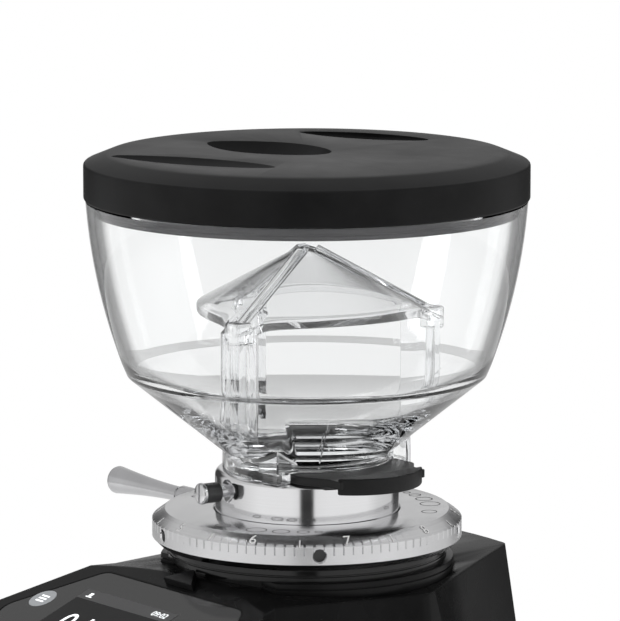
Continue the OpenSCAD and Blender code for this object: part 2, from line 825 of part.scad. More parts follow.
module bearing(z) {
    race = 3.4;
    tube(bearing_r - run_clear, bearing_r - race, z, z + bearing_w);
    tube(shaft_r + race, shaft_r + run_clear, z, z + bearing_w);
    translate([0, 0, z]) rotate_extrude() polygon([
        [shaft_r + race, 1], [bearing_r - race, 1],
        [bearing_r - race, bearing_w - 1], [shaft_r + race, bearing_w - 1]
    ]);
}

// ---- Grinding chamber ----

module grinding_chamber() {
    rim_top = -band_h - ring_chamfer - 0.6;
    thread_r = skirt_r + slide_clear;
    step_r = carrier_flange_r + slide_clear;
    floor_top = -floor_z;
    drum_r = sweep_r + 7;
    color("#1b1b1c") from_ring() difference() {
        union() {
            rotate_extrude() polygon([
                [14, floor_top], [sweep_r, floor_top], [sweep_r, -ledge_z], [step_r, -ledge_z],
                [step_r, 5 - ledge_z], [thread_r, 5 - ledge_z], [thread_r, rim_top],
                [chamber_rim_r - 0.6, rim_top], [chamber_rim_r, rim_top - 0.6],
                [chamber_rim_r, -flange_z], [chamber_r, -flange_z], [chamber_r, -ledge_z - 6],
                [drum_r, -ledge_z - 6], [drum_r, floor_top - floor_t], [14, floor_top - floor_t]
            ]);
            for (p = ear_spots) ear(p);
            block(-outlet_w / 2 - 4, outlet_w / 2 + 4, -outlet_y, -sweep_r - 2,
                  floor_top - 3, -ledge_z - 5);
        }
        block(-outlet_w / 2, outlet_w / 2, -outlet_y - overcut, -sweep_r + 12,
              floor_top, -burr_z - 1);
        for (p = ear_spots) translate([p[0], p[1], 0]) disc(2.7, floor_top, -ear_z + overcut);
    }
}

module ear(p) {
    angle = atan2(p[1], p[0]);
    translate([p[0], p[1], 0]) disc(ear_r, -ear_z - ear_t, -ear_z);
    rotate([0, 0, angle])
        block(chamber_r - 2, norm(p), 1 - ear_r, ear_r - 1, 1 - ear_z - ear_t, -ear_z - 0.5);
}

module chamber_screws() {
    color("#5e6063") from_ring() for (p = ear_spots) translate([p[0], p[1], 0]) {
        disc(2.5, -ear_z - 8, -deck_z - 2);
        disc(4.5, -ear_z - ear_t - 5, -ear_z - ear_t);
    }
}

module flange_shape(r, z0, z1, flat) {
    intersection() {
        disc(r, z0, z1);
        block(-r, r, -flat, r, z0, z1);
    }
}

module flange_plate() {
    groove_z = -flange_z - 2.4;
    color("#232324") from_ring() difference() {
        flange_shape(flange_r, -deck_z, -flange_z, flange_flat_y);
        disc(chamber_r + 0.02, -deck_z - overcut, 0);
        difference() {
            flange_shape(flange_r + 2, groove_z, groove_z + 0.8, flange_flat_y + 2);
            flange_shape(flange_r - 0.8, groove_z - 1, groove_z + 2, flange_flat_y - 0.8);
        }
    }
}

// ---- Motor ----

module upper_end_cap() {
    z = motor_top_z - cap_t;
    color("#8d9092") from_ring() difference() {
        union() {
            disc(stator_r, z, motor_top_z);
            disc(stator_r, z - winding_h - 2, z + 0.01);
        }
        disc(stator_r - 8, z - winding_h - 3, z);
        disc(bearing_r, motor_top_z - 1 - bearing_w, motor_top_z + overcut);
        disc(shaft_r + 2, z - overcut, motor_top_z);
        around(4, bolt_ring_r, 45) disc(2, z - winding_h - 3, motor_top_z - 3);
        for (i = [0:7]) rotate([0, 0, 45 * i + 22.5])
            block(bearing_r + 8, stator_r - 12, -5, 5, z - overcut, motor_top_z + overcut);
    }
}

module lower_end_cap() {
    z = lower_cap_z;
    color("#8d9092") from_ring() difference() {
        union() {
            disc(stator_r, z, z + cap_t);
            disc(stator_r, z + cap_t - 0.01, z + cap_t + winding_h + 2);
        }
        disc(stator_r - 8, z + cap_t, z + cap_t + winding_h + 3);
        disc(bearing_r, z + 1, z + cap_t + overcut);
        disc(shaft_r + 2, z - overcut, z + cap_t);
        around(4, bolt_ring_r, 45) disc(2 + slide_clear, z - overcut, z + cap_t + winding_h + 3);
        for (i = [0:7]) rotate([0, 0, 45 * i + 22.5])
            block(bearing_r + 8, stator_r - 12, -5, 5, z - overcut, z + cap_t + overcut);
    }
}

module stator_core() {
    color("#6d7073") from_ring() difference() {
        disc(stator_r, stack_z - stack_h, stack_z);
        disc(rotor_r + air_gap, stack_z - stack_h - overcut, stack_z + overcut);
        around(4, bolt_ring_r, 45) disc(2 + slide_clear, stack_z - stack_h - overcut, stack_z + overcut);
        around(24, rotor_r + air_gap + 5, 0)
            block(-3, 5, -2, 2, stack_z - stack_h - overcut, stack_z + overcut);
    }
}

module stator_windings() {
    inner = rotor_r + 3;
    outer = stator_r - 10;
    color("#a3552b") from_ring() {
        for (z = [stack_z, stack_z - stack_h - winding_h + 1])
            translate([0, 0, z]) rotate_extrude() polygon([
                [inner, 0], [outer, 0], [outer, winding_h - 4], [outer - 3, winding_h - 1],
                [inner + 3, winding_h - 1], [inner, winding_h - 4]
            ]);
    }
}

module motor_rotor() {
    color("#77797c") from_ring() difference() {
        union() {
            disc(rotor_r, stack_z - stack_h, stack_z);
            disc(rotor_r - 2, stack_z - stack_h - 6, stack_z + 6);
        }
        disc(shaft_r, stack_z - stack_h - 10, stack_z + 10);
    }
}

module cooling_fan() {
    z = lower_cap_z - 17;
    color("#2c2d2f") from_ring() difference() {
        union() {
            disc(shaft_r + 6, z, z + 14);
            disc(fan_r, z, z + 2);
            for (i = [0:fan_blades - 1]) rotate([0, 0, i * 360 / fan_blades])
                block(shaft_r + 4, fan_r - 2, -1, 1, z + 1, z + 13);
        }
        disc(shaft_r, z - overcut, z + 20);
    }
}

module motor_bolts() {
    top = motor_top_z - 4;
    color("#5e6063") from_ring() around(4, bolt_ring_r, 45) {
        disc(2, lower_cap_z, top);
        disc(3.6, lower_cap_z - 3, lower_cap_z);
    }
}

module run_capacitor() {
    neck_h = 4;
    tab_h = 8;
    color("#c8c9ca") from_counter() translate([can_x, can_y, base_z]) {
        disc(can_r, 0, can_h);
        disc(can_r - 3, can_h, can_h + neck_h);
        for (x = [-5, 5]) block(x - 0.4, x + 0.4, -3, 3, can_h + neck_h, can_h + neck_h + tab_h);
    }
}

// ---- Body casing ----

module under_crown(drop) {
    translate([0, 400, -crown_z - crown_r]) rotate([90, 0, 0])
        cylinder(r = crown_r - drop, h = 800, $fn = 240);
}

module under_panel(drop) {
    on_panel() translate([-300, -400, -900 - drop]) cube([600, 900, 900]);
}

module column(inset, low) {
    hull() {
        slab(foot_outline, low, inset);
        slab(top_outline, column_top_z, inset);
    }
}

module head(inset, rise) {
    hull() {
        translate([0, 0, ring_z]) {
            slab(head_outline, -10, inset);
            slab(head_outline, -58, inset);
            slab(head_low_outline, -head_z + rise, inset);
        }
    }
}

module body_form(inset) {
    intersection() {
        union() {
            column(inset, base_z);
            head(inset, 0);
        }
        translate([0, 0, ring_z]) under_crown(0);
        translate([0, 0, ring_z]) under_panel(0);
    }
}

module body_hollow() {
    intersection() {
        union() {
            column(wall_t, base_z - overcut);
            head(wall_t, -overcut);
        }
        translate([0, 0, ring_z]) block(-200, 200, -250, 250, -ring_z, -deck_z - 8);
        translate([0, 0, ring_z]) under_panel(panel_t + 4);
    }
}

module body_casing() {
    color("#161617") from_counter() difference() {
        union() {
            difference() {
                body_form(0);
                body_hollow();
            }
            translate([0, 0, ring_z]) for (p = ear_spots)
                translate([p[0], p[1], 0]) disc(ear_r, -ear_z, -deck_z - 1);
            translate([0, 0, ring_z]) on_panel() board_spots() disc(3, -board_drop, -panel_t);
        }
        translate([0, 0, ring_z]) {
            flange_shape(flange_r + 0.2, -deck_z, 0, flange_flat_y + 0.2);
            disc(chamber_r + slide_clear, -deck_z - 20, 0);
            for (p = ear_spots) translate([p[0], p[1], 0]) disc(2.5, -ear_z - overcut, -deck_z - 2);
            on_panel() glass_pocket();
        }
        dose_mount() disc(11.2, -20, 20);
        fork_holes(2.5);
        switch_place() block(-11, 11, -14, 14, -20, 20);
        rear_place() block(4 - cover_hw, cover_hw - 4, 10 - cover_hl, cover_hl - 10, -20, 20);
        rear_place() cover_spots() disc(1.6, -20, 20);
        inlet_place() block(-13.8, 13.8, -10, 10, -20, 20);
    }
}

module glass_outline(inset) {
    up = 3.5;
    offset(r = 8, $fn = 64) offset(delta = -8 - inset) polygon(mirrored([
        [front_hw - 6, -up], [head_hw - 12, -front_y + 25], [head_front_hw - 4, -head_y + front_y + 4]
    ]));
}

module glass_pocket() {
    translate([0, 0, -glass_t]) linear_extrude(20) glass_outline(-0.15);
    translate([display_x - display_w / 2 - 1, -display_l - 18, -20])
        cube([display_w + 2, display_l + 2, 30]);
}

module ring_pointer() {
    h = 3.2;
    color("#3a3a3c") from_ring() on_panel() translate([0, 0, 0]) linear_extrude(h)
        polygon([[-10, -0.5], [10, -0.5], [0.6, 9], [-0.6, 9]]);
}

module control_glass() {
    color("#0b0b0c") from_ring() on_panel() translate([0, 0, -glass_t]) linear_extrude(glass_t)
        glass_outline(0);
}

module display_module() {
    color("#1f2a33") from_ring() on_panel()
        translate([display_x - display_w / 2, -display_l - 17, -glass_t - 4])
            cube([display_w, display_l, 4]);
}

module control_board() {
    color("#1d5b34") from_ring() on_panel() translate([0, 0, -board_drop]) {
        difference() {
            translate([-board_w / 2, -10 - board_l, -1.6]) cube([board_w, board_l, 1.6]);
            board_spots() disc(1.4, -3, 1);
        }
        translate([-40, -56, -4]) cube([10, 8, 2.4]);
        translate([30, -30, -3.4]) cube([8, 8, 1.8]);
        translate([26, -54, -9.6]) cube([16, 12, 8]);
    }
}

module board_spots() {
    for (x = [-1, 1], y = [-14, -6 - board_l]) translate([x * (board_w / 2 - 3), y, 0]) children();
}

module head_cover() {
    color("#19191a") from_ring() difference() {
        translate([0, 0, -head_z - 2]) linear_extrude(2) offset(r = 6, $fn = 48) offset(delta = -6.5)
            polygon(mirrored([
                [front_hw - 4, -front_y - 0.2], [head_hw - 26, -front_y - 40],
                [head_front_hw - 24, -head_y + 14]
            ]));
        block(-spout_r - 4, spout_r + 4, -spout_y - 17, -spout_y + 17, -head_z - 4, -head_z + 4);
    }
}

// ---- Outlet, portafilter holder and dosing button ----

module duct_form(inset, x) {
    t = inset;
    rotate([90, 0, 90]) translate([0, 0, -x]) linear_extrude(2 * x) polygon([
        [-duct_y + 2 * overcut * sign(t), -burr_z + 2 - t], [-96, -54 - t],
        [-spout_y - 16 + t, -66 - t], [-spout_y - 16 + t, -head_z - 2 - sign(t)],
        [-spout_y + 16 - t, -head_z - 2 - sign(t)], [-spout_y + 16 - t, -96 + t],
        [-duct_y + 2 * overcut * sign(t), -floor_z - 3 + t]
    ]);
}

module outlet_duct() {
    color("#2b2b2d") from_ring() difference() {
        duct_form(0, outlet_w / 2 + 2);
        duct_form(2, outlet_w / 2);
    }
}

module clump_grid() {
    color("#b9bbbd") from_ring() translate([0, seat_gap - duct_y, 0]) difference() {
        block(-outlet_w / 2 - 2, outlet_w / 2 + 2, 0, grid_t, -floor_z - 2, -burr_z + 1);
        for (i = [-3:3]) block(i * 4.4 - 1.3, i * 4.4 + 1.3, -1, 3, -floor_z + 1, -burr_z - 2);
    }
}

module outlet_spout() {
    mouth_z = -head_z - 2 - spout_l;
    color("#1b1b1c") from_ring() translate([0, -spout_y, 0]) difference() {
        union() {
            block(-24, 24, -21, 21, -head_z - 5, -head_z - 2.1);
            translate([0, 0, mouth_z]) cylinder(r1 = spout_r + 2, r2 = spout_r + 7, h = spout_l - 2);
        }
        translate([0, 0, mouth_z - 0.01]) cylinder(r1 = spout_r, r2 = spout_r + 4.6, h = spout_l + 2);
    }
}

module fork_holes(r) {
    for (x = [-18, 18]) translate([x, -front_y, fork_z - 16]) rotate([90, 0, 0]) disc(r, -14, 14);
}

module portafilter_fork() {
    arm_w = 9;
    color("#c4c6c8") from_counter() difference() {
        union() {
            block(-fork_gap / 2 - arm_w, fork_gap / 2 + arm_w, -front_y - 6, -front_y - seat_gap,
                  fork_z - 30, fork_z);
            for (s = [-1, 1]) {
                block(s * (fork_gap + arm_w) / 2 - arm_w / 2, s * (fork_gap + arm_w) / 2 + arm_w / 2,
                      -front_y - fork_l, -front_y - 3, fork_z - 8, fork_z);
                translate([s * (fork_gap + arm_w) / 2, -front_y - fork_l, 0])
                    disc(arm_w / 2, fork_z - 8, fork_z + 4);
            }
        }
        fork_holes(2.6);
    }
}

module fork_screws() {
    color("#55575a") from_counter() for (x = [-18, 18])
        translate([x, -front_y - 6, fork_z - 16]) rotate([90, 0, 0]) difference() {
            union() {
                disc(2.5, -14, 0);
                disc(4.5, 0, 3);
            }
            translate([0, 0, 1]) cylinder(r = 2, h = 3, $fn = 6);
        }
}

module dose_mount() {
    translate([0, -front_y, fork_z + button_rise]) rotate([90, 0, 0]) children();
}

module dose_switch() {
    color("#2b2b2d") from_counter() dose_mount() difference() {
        union() {
            disc(11, -24, 0);
            disc(14, 0, 3);
        }
        disc(8.6, -12, 4);
    }
}

module dose_button() {
    color("#c4c6c8") from_counter() dose_mount() {
        disc(8.2, -12 + button_travel + 0.4, 7);
        disc(7, 6.9, 8);
    }
}

// ---- Rear cover, inlet and power switch ----

module rear_place() {
    translate([0, rear_y + flare, base_z + slab_t]) rotate([rear_tilt, 0, 0]) translate([0, 0, 210])
        rotate([-90, 0, 0]) mirror([0, 1, 0]) children();
}

module inlet_place() {
    translate([0, rear_y + flare, base_z + slab_t]) rotate([rear_tilt, 0, 0]) translate([0, 0, 40])
        rotate([-90, 0, 0]) mirror([0, 1, 0]) children();
}

module cover_spots() {
    for (x = [-1, 1], y = [-1, 1]) translate([x * cover_hw / 2, y * (cover_hl - 4), 0]) children();
}

module rear_cover() {
    color("#1a1a1b") from_counter() rear_place() difference() {
        block(-cover_hw, cover_hw, -cover_hl, cover_hl, 0.1, 2.1);
        cover_spots() disc(1.8, -overcut, 4);
        for (i = [-8:8]) translate([0, i * vent_pitch, 0])
            block(12 - cover_hw, cover_hw - 12, -1.8, 1.8, -1, 4);
    }
}

module cover_screws() {
    color("#55575a") from_counter() rear_place() cover_spots() {
        disc(1.6, -5, 2.1);
        disc(3, 2.1, 3.6);
    }
}

module power_inlet() {
    color("#1e1e1f") from_counter() inlet_place() {
        difference() {
            union() {
                block(-13.5, 13.5, -9.7, 9.7, -22, 0.1);
                block(-24, 24, -11.5, 11.5, 0.1, 2.6);
            }
            block(-12, 12, -8, 8, -16, 4);
        }
        for (p = [[-7, -2], [0, 2], [7, -2]])
            block(p[0] - 1, p[0] + 1, p[1] - 2, p[1] + 2, -17, -3);
    }
}

module switch_place() {
    translate([-60, -front_y, 84]) rotate([90, 0, 0]) children();
}

module switch_body() {
    color("#242425") from_counter() switch_place() difference() {
        union() {
            block(-10.8, 10.8, -13.8, 13.8, -22, 0.1);
            block(-13, 13, -16, 16, 0.1, 2);
        }
        block(-9.4, 9.4, -12.4, 12.4, -9, 4);
        rocker_pin(1.7, 10.4);
    }
}

module rocker_pin(r, half_l) {
    translate([0, 0, -3]) rotate([0, 90, 0]) disc(r, -half_l, half_l);
}

module power_rocker() {
    color("#0f0f10") from_counter() switch_place() {
        intersection() {
            block(-9, 9, -11.6, 11.6, -8, 8);
            translate([0, 0, -3]) rotate([0, 90, 0]) rotate([0, 0, 8]) translate([0, 0, -9])
                linear_extrude(18) polygon([
                    [3, -5], [3, 5], [-4, 11.4], [-5.6, 11.4], [-3.4, 0], [-5.6, -11.4], [-4, -11.4]
                ]);
        }
        rocker_pin(1.5, 10.2);
    }
}

// ---- Base, tray and feet ----

module base_form(inset, z0, z1) {
    translate([0, 0, z0]) linear_extrude(z1 - z0)
        offset(r = 14, $fn = 64) offset(delta = -14 - inset) polygon(base_outline);
}

module base_casting() {
    low = foot_h + 1.6;
    pocket_hw = tray_w / 2 + 1;
    color("#17171a") from_counter() difference() {
        base_form(0, foot_h, base_z);
        difference() {
            base_form(5, foot_h - overcut, base_z - 5);
            block(-pocket_hw - 4, pocket_hw + 4, -base_front_y, -front_y - 20,
                  foot_h - overcut, base_z);
            for (p = foot_spots) translate([p[0], p[1], 0]) disc(12, 0, base_z);
        }
        block(-pocket_hw, pocket_hw, -base_front_y - overcut, -base_front_y + tray_l + 1,
              tray_floor_z - 0.2, base_z + overcut);
        for (p = foot_spots) translate([p[0], p[1], 0]) disc(3.2, 0, foot_h + 6);
    }
}

foot_spots = [[-88, -180], [88, -180], [-62, 98], [62, 98]];

module base_cover() {
    color("#4b4d50") from_counter() difference() {
        base_form(5.4, foot_h, foot_h + 1.4);
        block(-tray_w / 2 - 6, tray_w / 2 + 6, -base_front_y, -front_y - 19, 0, base_z);
        for (p = foot_spots) translate([p[0], p[1], 0]) disc(12.4, 0, base_z);
    }
}

module rubber_feet() {
    color("#1f1f20") from_counter() for (p = foot_spots) translate([p[0], p[1], 0]) {
        disc(foot_r, 0, foot_h);
        disc(3, foot_h - 0.01, foot_h + 5.5);
    }
}

module grounds_tray() {
    top = base_z + 1;
    front = -base_front_y;
    color("#a8aaad") from_counter() difference() {
        union() {
            block(-tray_w / 2, tray_w / 2, front, front + tray_l, tray_floor_z, top);
            block(-30, 30, front - tray_lip, front + 1, tray_floor_z + 4, top);
        }
        block(-tray_w / 2 + tray_t, tray_w / 2 - tray_t, front + tray_t, front + tray_l - tray_t,
              tray_floor_z + tray_t, top + overcut);
    }
}

hopper_lid();
lid_seal();
hopper_bowl();
bean_guard();
hopper_gate();
lock_screw();
lock_knob();
upper_burr_carrier();
upper_burr();
upper_burr_screws();
adjustment_ring();
ring_lever();
carrier_springs();
lower_burr();
lower_burr_screws();
lower_burr_carrier();
carrier_nut();
grinding_chamber();
chamber_screws();
flange_plate();
shaft_seal();
drive_shaft();
upper_bearing();
lower_bearing();
upper_end_cap();
lower_end_cap();
stator_core();
stator_windings();
motor_rotor();
cooling_fan();
motor_bolts();
run_capacitor();
body_casing();
ring_pointer();
control_glass();
display_module();
control_board();
head_cover();
outlet_duct();
clump_grid();
outlet_spout();
portafilter_fork();
fork_screws();
dose_switch();
dose_button();
rear_cover();
cover_screws();
power_inlet();
switch_body();
power_rocker();
base_casting();
base_cover();
rubber_feet();
grounds_tray();
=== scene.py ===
"""Looks of an on-demand burr grinder: finishes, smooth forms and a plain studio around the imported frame."""
import json
import logging
import math
from dataclasses import dataclass, field
from enum import Enum
from typing import Callable, Iterable, Sequence

import bmesh
import bpy
from mathutils import Matrix, Vector

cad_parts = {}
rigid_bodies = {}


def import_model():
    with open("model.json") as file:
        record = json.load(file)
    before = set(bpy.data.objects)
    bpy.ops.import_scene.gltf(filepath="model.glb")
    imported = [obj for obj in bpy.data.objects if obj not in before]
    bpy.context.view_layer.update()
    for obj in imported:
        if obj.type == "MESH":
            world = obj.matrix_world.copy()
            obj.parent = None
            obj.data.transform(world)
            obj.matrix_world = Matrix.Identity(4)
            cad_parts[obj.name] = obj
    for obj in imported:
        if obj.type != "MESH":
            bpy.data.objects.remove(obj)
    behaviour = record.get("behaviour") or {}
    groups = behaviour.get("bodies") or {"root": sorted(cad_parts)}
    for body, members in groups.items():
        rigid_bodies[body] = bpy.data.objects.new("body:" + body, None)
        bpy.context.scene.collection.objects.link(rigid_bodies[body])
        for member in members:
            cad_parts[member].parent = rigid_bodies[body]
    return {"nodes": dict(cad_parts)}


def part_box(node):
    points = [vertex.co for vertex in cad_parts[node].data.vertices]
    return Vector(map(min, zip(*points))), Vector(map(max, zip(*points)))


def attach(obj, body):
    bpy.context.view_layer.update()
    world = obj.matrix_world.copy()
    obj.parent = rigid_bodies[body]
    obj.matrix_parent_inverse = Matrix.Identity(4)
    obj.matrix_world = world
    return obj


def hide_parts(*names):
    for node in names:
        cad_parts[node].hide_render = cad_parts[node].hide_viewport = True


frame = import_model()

LOG = logging.getLogger("grinder")
MM = 0.001
ROUND_STEPS = 192

Profile = Sequence[tuple[float, float]]


# ---------------------------------------------------------------- places


@dataclass(frozen=True)
class Datum:
    """The burr axis and the upper edge of the adjustment ring's band, which every size here is taken from."""

    x: float
    y: float
    z: float

    @staticmethod
    def from_frame() -> "Datum":
        """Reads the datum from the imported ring, whose flat top stands a set height above its band.

        Returns:
            The datum, in metres.
        """
        low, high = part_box("upper_burr_carrier")
        ring_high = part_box("adjustment_ring")[1]
        return Datum((low.x + high.x) / 2, (low.y + high.y) / 2, ring_high.z - 4.0 * MM)

    def at(self, x: float, y: float, z: float) -> Vector:
        """A point given in millimetres from the datum, in metres."""
        return Vector((self.x + x * MM, self.y + y * MM, self.z + z * MM))

    def matrix(self) -> Matrix:
        """The transform from millimetres about the datum to metres in the frame."""
        return Matrix.Translation((self.x, self.y, self.z)) @ Matrix.Scale(MM, 4)


DATUM = Datum.from_frame()


class Body(str, Enum):
    """The rigid bodies that pieces ride on."""

    HOUSING = "housing"
    CARRIER = "burr_carrier"
    RING = "ring"
    LOCK = "lock"
    HOPPER = "hopper"
    GATE = "gate"
    LID = "lid"
    SPINDLE = "spindle"
    BUTTON = "dosing_button"
    ROCKER = "rocker"
    TRAY = "tray"


# ---------------------------------------------------------------- finishes


class NodeSheet:
    """A small helper that lays out shader nodes for one material."""

    def __init__(self, name: str) -> None:
        """Starts a material with a Principled shader.

        Args:
            name: the material's name.
        """
        self.material = bpy.data.materials.new(name)
        self.material.use_nodes = True
        self.tree = self.material.node_tree
        self.tree.nodes.clear()
        self.output = self.tree.nodes.new("ShaderNodeOutputMaterial")
        self.shader = self.tree.nodes.new("ShaderNodeBsdfPrincipled")
        self.link(self.shader.outputs["BSDF"], self.output.inputs["Surface"])

    def node(self, kind: str, **values: object) -> bpy.types.Node:
        """Adds a node and sets its properties or its input defaults by name.

        Args:
            kind: the node's type name.
            values: properties, or inputs whose spaces are written as underscores.

        Returns:
            The new node.
        """
        made = self.tree.nodes.new(kind)
        for key, value in values.items():
            if hasattr(made, key):
                setattr(made, key, value)
            else:
                made.inputs[key.replace("_", " ")].default_value = value
        return made

    def link(self, source: bpy.types.NodeSocket, target: bpy.types.NodeSocket) -> None:
        """Joins two sockets."""
        self.tree.links.new(source, target)

    def place(self, scale: float = 1.0, stretch: tuple[float, float, float] = (1, 1, 1)) -> bpy.types.NodeSocket:
        """Object coordinates in millimetres about the burr axis.

        Args:
            scale: a factor on all three directions.
            stretch: a factor for each direction.

        Returns:
            The vector socket.
        """
        source = self.node("ShaderNodeTexCoord")
        mapping = self.node("ShaderNodeMapping", vector_type="POINT")
        factors = [1000.0 * scale * s for s in stretch]
        mapping.inputs["Scale"].default_value = factors
        centre = (-DATUM.x * factors[0], -DATUM.y * factors[1], -DATUM.z * factors[2])
        mapping.inputs["Location"].default_value = centre
        self.link(source.outputs["Object"], mapping.inputs["Vector"])
        return mapping.outputs["Vector"]

    def noise(self, place: bpy.types.NodeSocket, scale: float, detail: float = 3.0,
              roughness: float = 0.55) -> bpy.types.NodeSocket:
        """A noise value from 0 to 1.

        Args:
            place: the coordinates.
            scale: how many cells lie in a millimetre.
            detail: octaves.
            roughness: how strong the finer octaves are.

        Returns:
            The value socket.
        """
        made = self.node("ShaderNodeTexNoise", Scale=scale, Detail=detail, Roughness=roughness)
        self.link(place, made.inputs["Vector"])
        return made.outputs["Fac"]

    def spread(self, value: bpy.types.NodeSocket, low: float, high: float,
               start: float = 0.3, end: float = 0.7) -> bpy.types.NodeSocket:
        """Maps a value onto a range.

        Args:
            value: the input.
            low: the result at start.
            high: the result at end.
            start: the input that gives low.
            end: the input that gives high.

        Returns:
            The mapped value.
        """
        made = self.node("ShaderNodeMapRange")
        for name, number in (("From Min", start), ("From Max", end), ("To Min", low), ("To Max", high)):
            made.inputs[name].default_value = number
        self.link(value, made.inputs["Value"])
        return made.outputs["Result"]

    def blend_colours(self, value: bpy.types.NodeSocket, first: Sequence[float],
                      second: Sequence[float], start: float = 0.35, end: float = 0.65) -> None:
        """Lets the base colour wander between two colours.

        Args:
            value: what the colour follows.
            first: the colour at start.
            second: the colour at end.
            start: the value that gives the first colour.
            end: the value that gives the second colour.
        """
        ramp = self.node("ShaderNodeValToRGB")
        ramp.color_ramp.elements[0].position = start
        ramp.color_ramp.elements[1].position = end
        ramp.color_ramp.elements[0].color = (*first, 1)
        ramp.color_ramp.elements[1].color = (*second, 1)
        self.link(value, ramp.inputs["Fac"])
        self.link(ramp.outputs["Color"], self.shader.inputs["Base Color"])

    def bump(self, height: bpy.types.NodeSocket, strength: float, distance_mm: float,
             edge_mm: float = 0.0) -> None:
        """Raises the surface by a height, over softened edges.

        Args:
            height: the height, from 0 to 1.
            strength: how much of it shows.
            distance_mm: the height that 1 stands for.
            edge_mm: the radius that sharp edges are shaded with, or 0.
        """
        made = self.node("ShaderNodeBump", Strength=strength, Distance=distance_mm * MM)
        self.link(height, made.inputs["Height"])
        if edge_mm > 0:
            soft = self.node("ShaderNodeBevel", samples=4)
            soft.inputs["Radius"].default_value = edge_mm * MM
            self.link(soft.outputs["Normal"], made.inputs["Normal"])
        self.link(made.outputs["Normal"], self.shader.inputs["Normal"])

    def around_axis(self) -> bpy.types.NodeSocket:
        """The direction around the burr axis, which turned surfaces are grooved along."""
        place = self.place()
        cross = self.node("ShaderNodeVectorMath", operation="CROSS_PRODUCT")
        cross.inputs[0].default_value = (0, 0, 1)
        self.link(place, cross.inputs[1])
        unit = self.node("ShaderNodeVectorMath", operation="NORMALIZE")
        self.link(cross.outputs["Vector"], unit.inputs[0])
        return unit.outputs["Vector"]

    def set(self, **values: object) -> None:
        """Sets the shader's own sockets, with spaces written as underscores."""
        for key, value in values.items():
            self.shader.inputs[key.replace("_", " ")].default_value = value


@dataclass(frozen=True)
class Finish:
    """One surface finish: a name, the record's slot and a colour."""

    name: str
    slot: str
    colour: tuple[float, float, float]

    def material(self) -> bpy.types.Material:
        """The finish's material, which is made once.

        Returns:
            The material.
        """
        found = bpy.data.materials.get(self.name)
        if found is None:
            sheet = NodeSheet(self.name)
            sheet.set(Base_Color=(*self.colour, 1))
            self.paint(sheet)
            found = sheet.material
        return found

    def paint(self, sheet: NodeSheet) -> None:
        """Lays out the nodes of this kind of finish."""
        raise NotImplementedError


@dataclass(frozen=True)
class Moulded(Finish):
    """Moulded or coated surface with a fine grain and faint unevenness."""

    roughness: float = 0.4
    grain_mm: float = 0.35
    grain_depth_mm: float = 0.015
    edge_mm: float = 0.5
    tint: float = 0.25
    coat: float = 0.0
    gloss: float = 0.5

    def paint(self, sheet: NodeSheet) -> None:
        """Grain in the bump, cloudy colour and roughness."""
        place = sheet.place()
        cloud = sheet.noise(place, 0.045, 4.0)
        grain = sheet.noise(place, 1.0 / self.grain_mm, 2.0)
        lighter = [min(1.0, c * (1 + self.tint) + 0.002) for c in self.colour]
        sheet.blend_colours(cloud, self.colour, lighter)
        rough = sheet.spread(cloud, self.roughness * 0.92, self.roughness * 1.08)
        sheet.link(rough, sheet.shader.inputs["Roughness"])
        sheet.set(Coat_Weight=self.coat, Coat_Roughness=0.08, Specular_IOR_Level=self.gloss)
        sheet.bump(grain, 0.6, self.grain_depth_mm, self.edge_mm)


@dataclass(frozen=True)
class Turned(Finish):
    """Metal turned on a lathe, with fine grooves round the burr axis."""

    roughness: float = 0.16
    pull: float = 0.75
    groove_mm: float = 0.25
    groove_depth_mm: float = 0.002
    edge_mm: float = 0.0

    def paint(self, sheet: NodeSheet) -> None:
        """Rings of grooves that stretch the highlights across them."""
        place = sheet.place()
        parts = sheet.node("ShaderNodeSeparateXYZ")
        sheet.link(place, parts.inputs["Vector"])
        square = sheet.node("ShaderNodeCombineXYZ")
        sheet.link(parts.outputs["X"], square.inputs["X"])
        sheet.link(parts.outputs["Y"], square.inputs["Y"])
        radius = sheet.node("ShaderNodeVectorMath", operation="LENGTH")
        sheet.link(square.outputs["Vector"], radius.inputs[0])
        reach = sheet.node("ShaderNodeMath", operation="ADD")
        sheet.link(radius.outputs["Value"], reach.inputs[0])
        sheet.link(parts.outputs["Z"], reach.inputs[1])
        line = sheet.node("ShaderNodeCombineXYZ")
        sheet.link(reach.outputs["Value"], line.inputs["X"])
        groove = sheet.noise(line.outputs["Vector"], 1.0 / self.groove_mm, 2.0, 0.7)
        haze = sheet.noise(place, 0.12, 3.0)
        rough = sheet.spread(haze, self.roughness * 0.85, self.roughness * 1.2)
        sheet.link(rough, sheet.shader.inputs["Roughness"])
        darker = [c * 0.9 for c in self.colour]
        sheet.blend_colours(groove, darker, self.colour, 0.3, 0.6)
        sheet.set(Metallic=1.0, Anisotropic=self.pull)
        sheet.link(sheet.around_axis(), sheet.shader.inputs["Tangent"])
        sheet.bump(groove, 0.5, self.groove_depth_mm, self.edge_mm)


@dataclass(frozen=True)
class Metal(Finish):
    """Plain metal with fine scratches along one direction."""

    roughness: float = 0.25
    brush: tuple[float, float, float] = (1.0, 1.0, 1.0)
    scratch: float = 1.2
    depth_mm: float = 0.004
    edge_mm: float = 0.3

    def paint(self, sheet: NodeSheet) -> None:
        """Scratches in roughness and bump, and a faint stain in the colour."""
        place = sheet.place(1.0, self.brush)
        lines = sheet.noise(place, self.scratch, 4.0, 0.7)
        stain = sheet.noise(sheet.place(), 0.07, 3.0)
        rough = sheet.spread(lines, self.roughness * 0.8, self.roughness * 1.25)
        sheet.link(rough, sheet.shader.inputs["Roughness"])
        sheet.blend_colours(stain, [c * 0.92 for c in self.colour], self.colour)
        sheet.set(Metallic=1.0)
        sheet.bump(lines, 0.5, self.depth_mm, self.edge_mm)


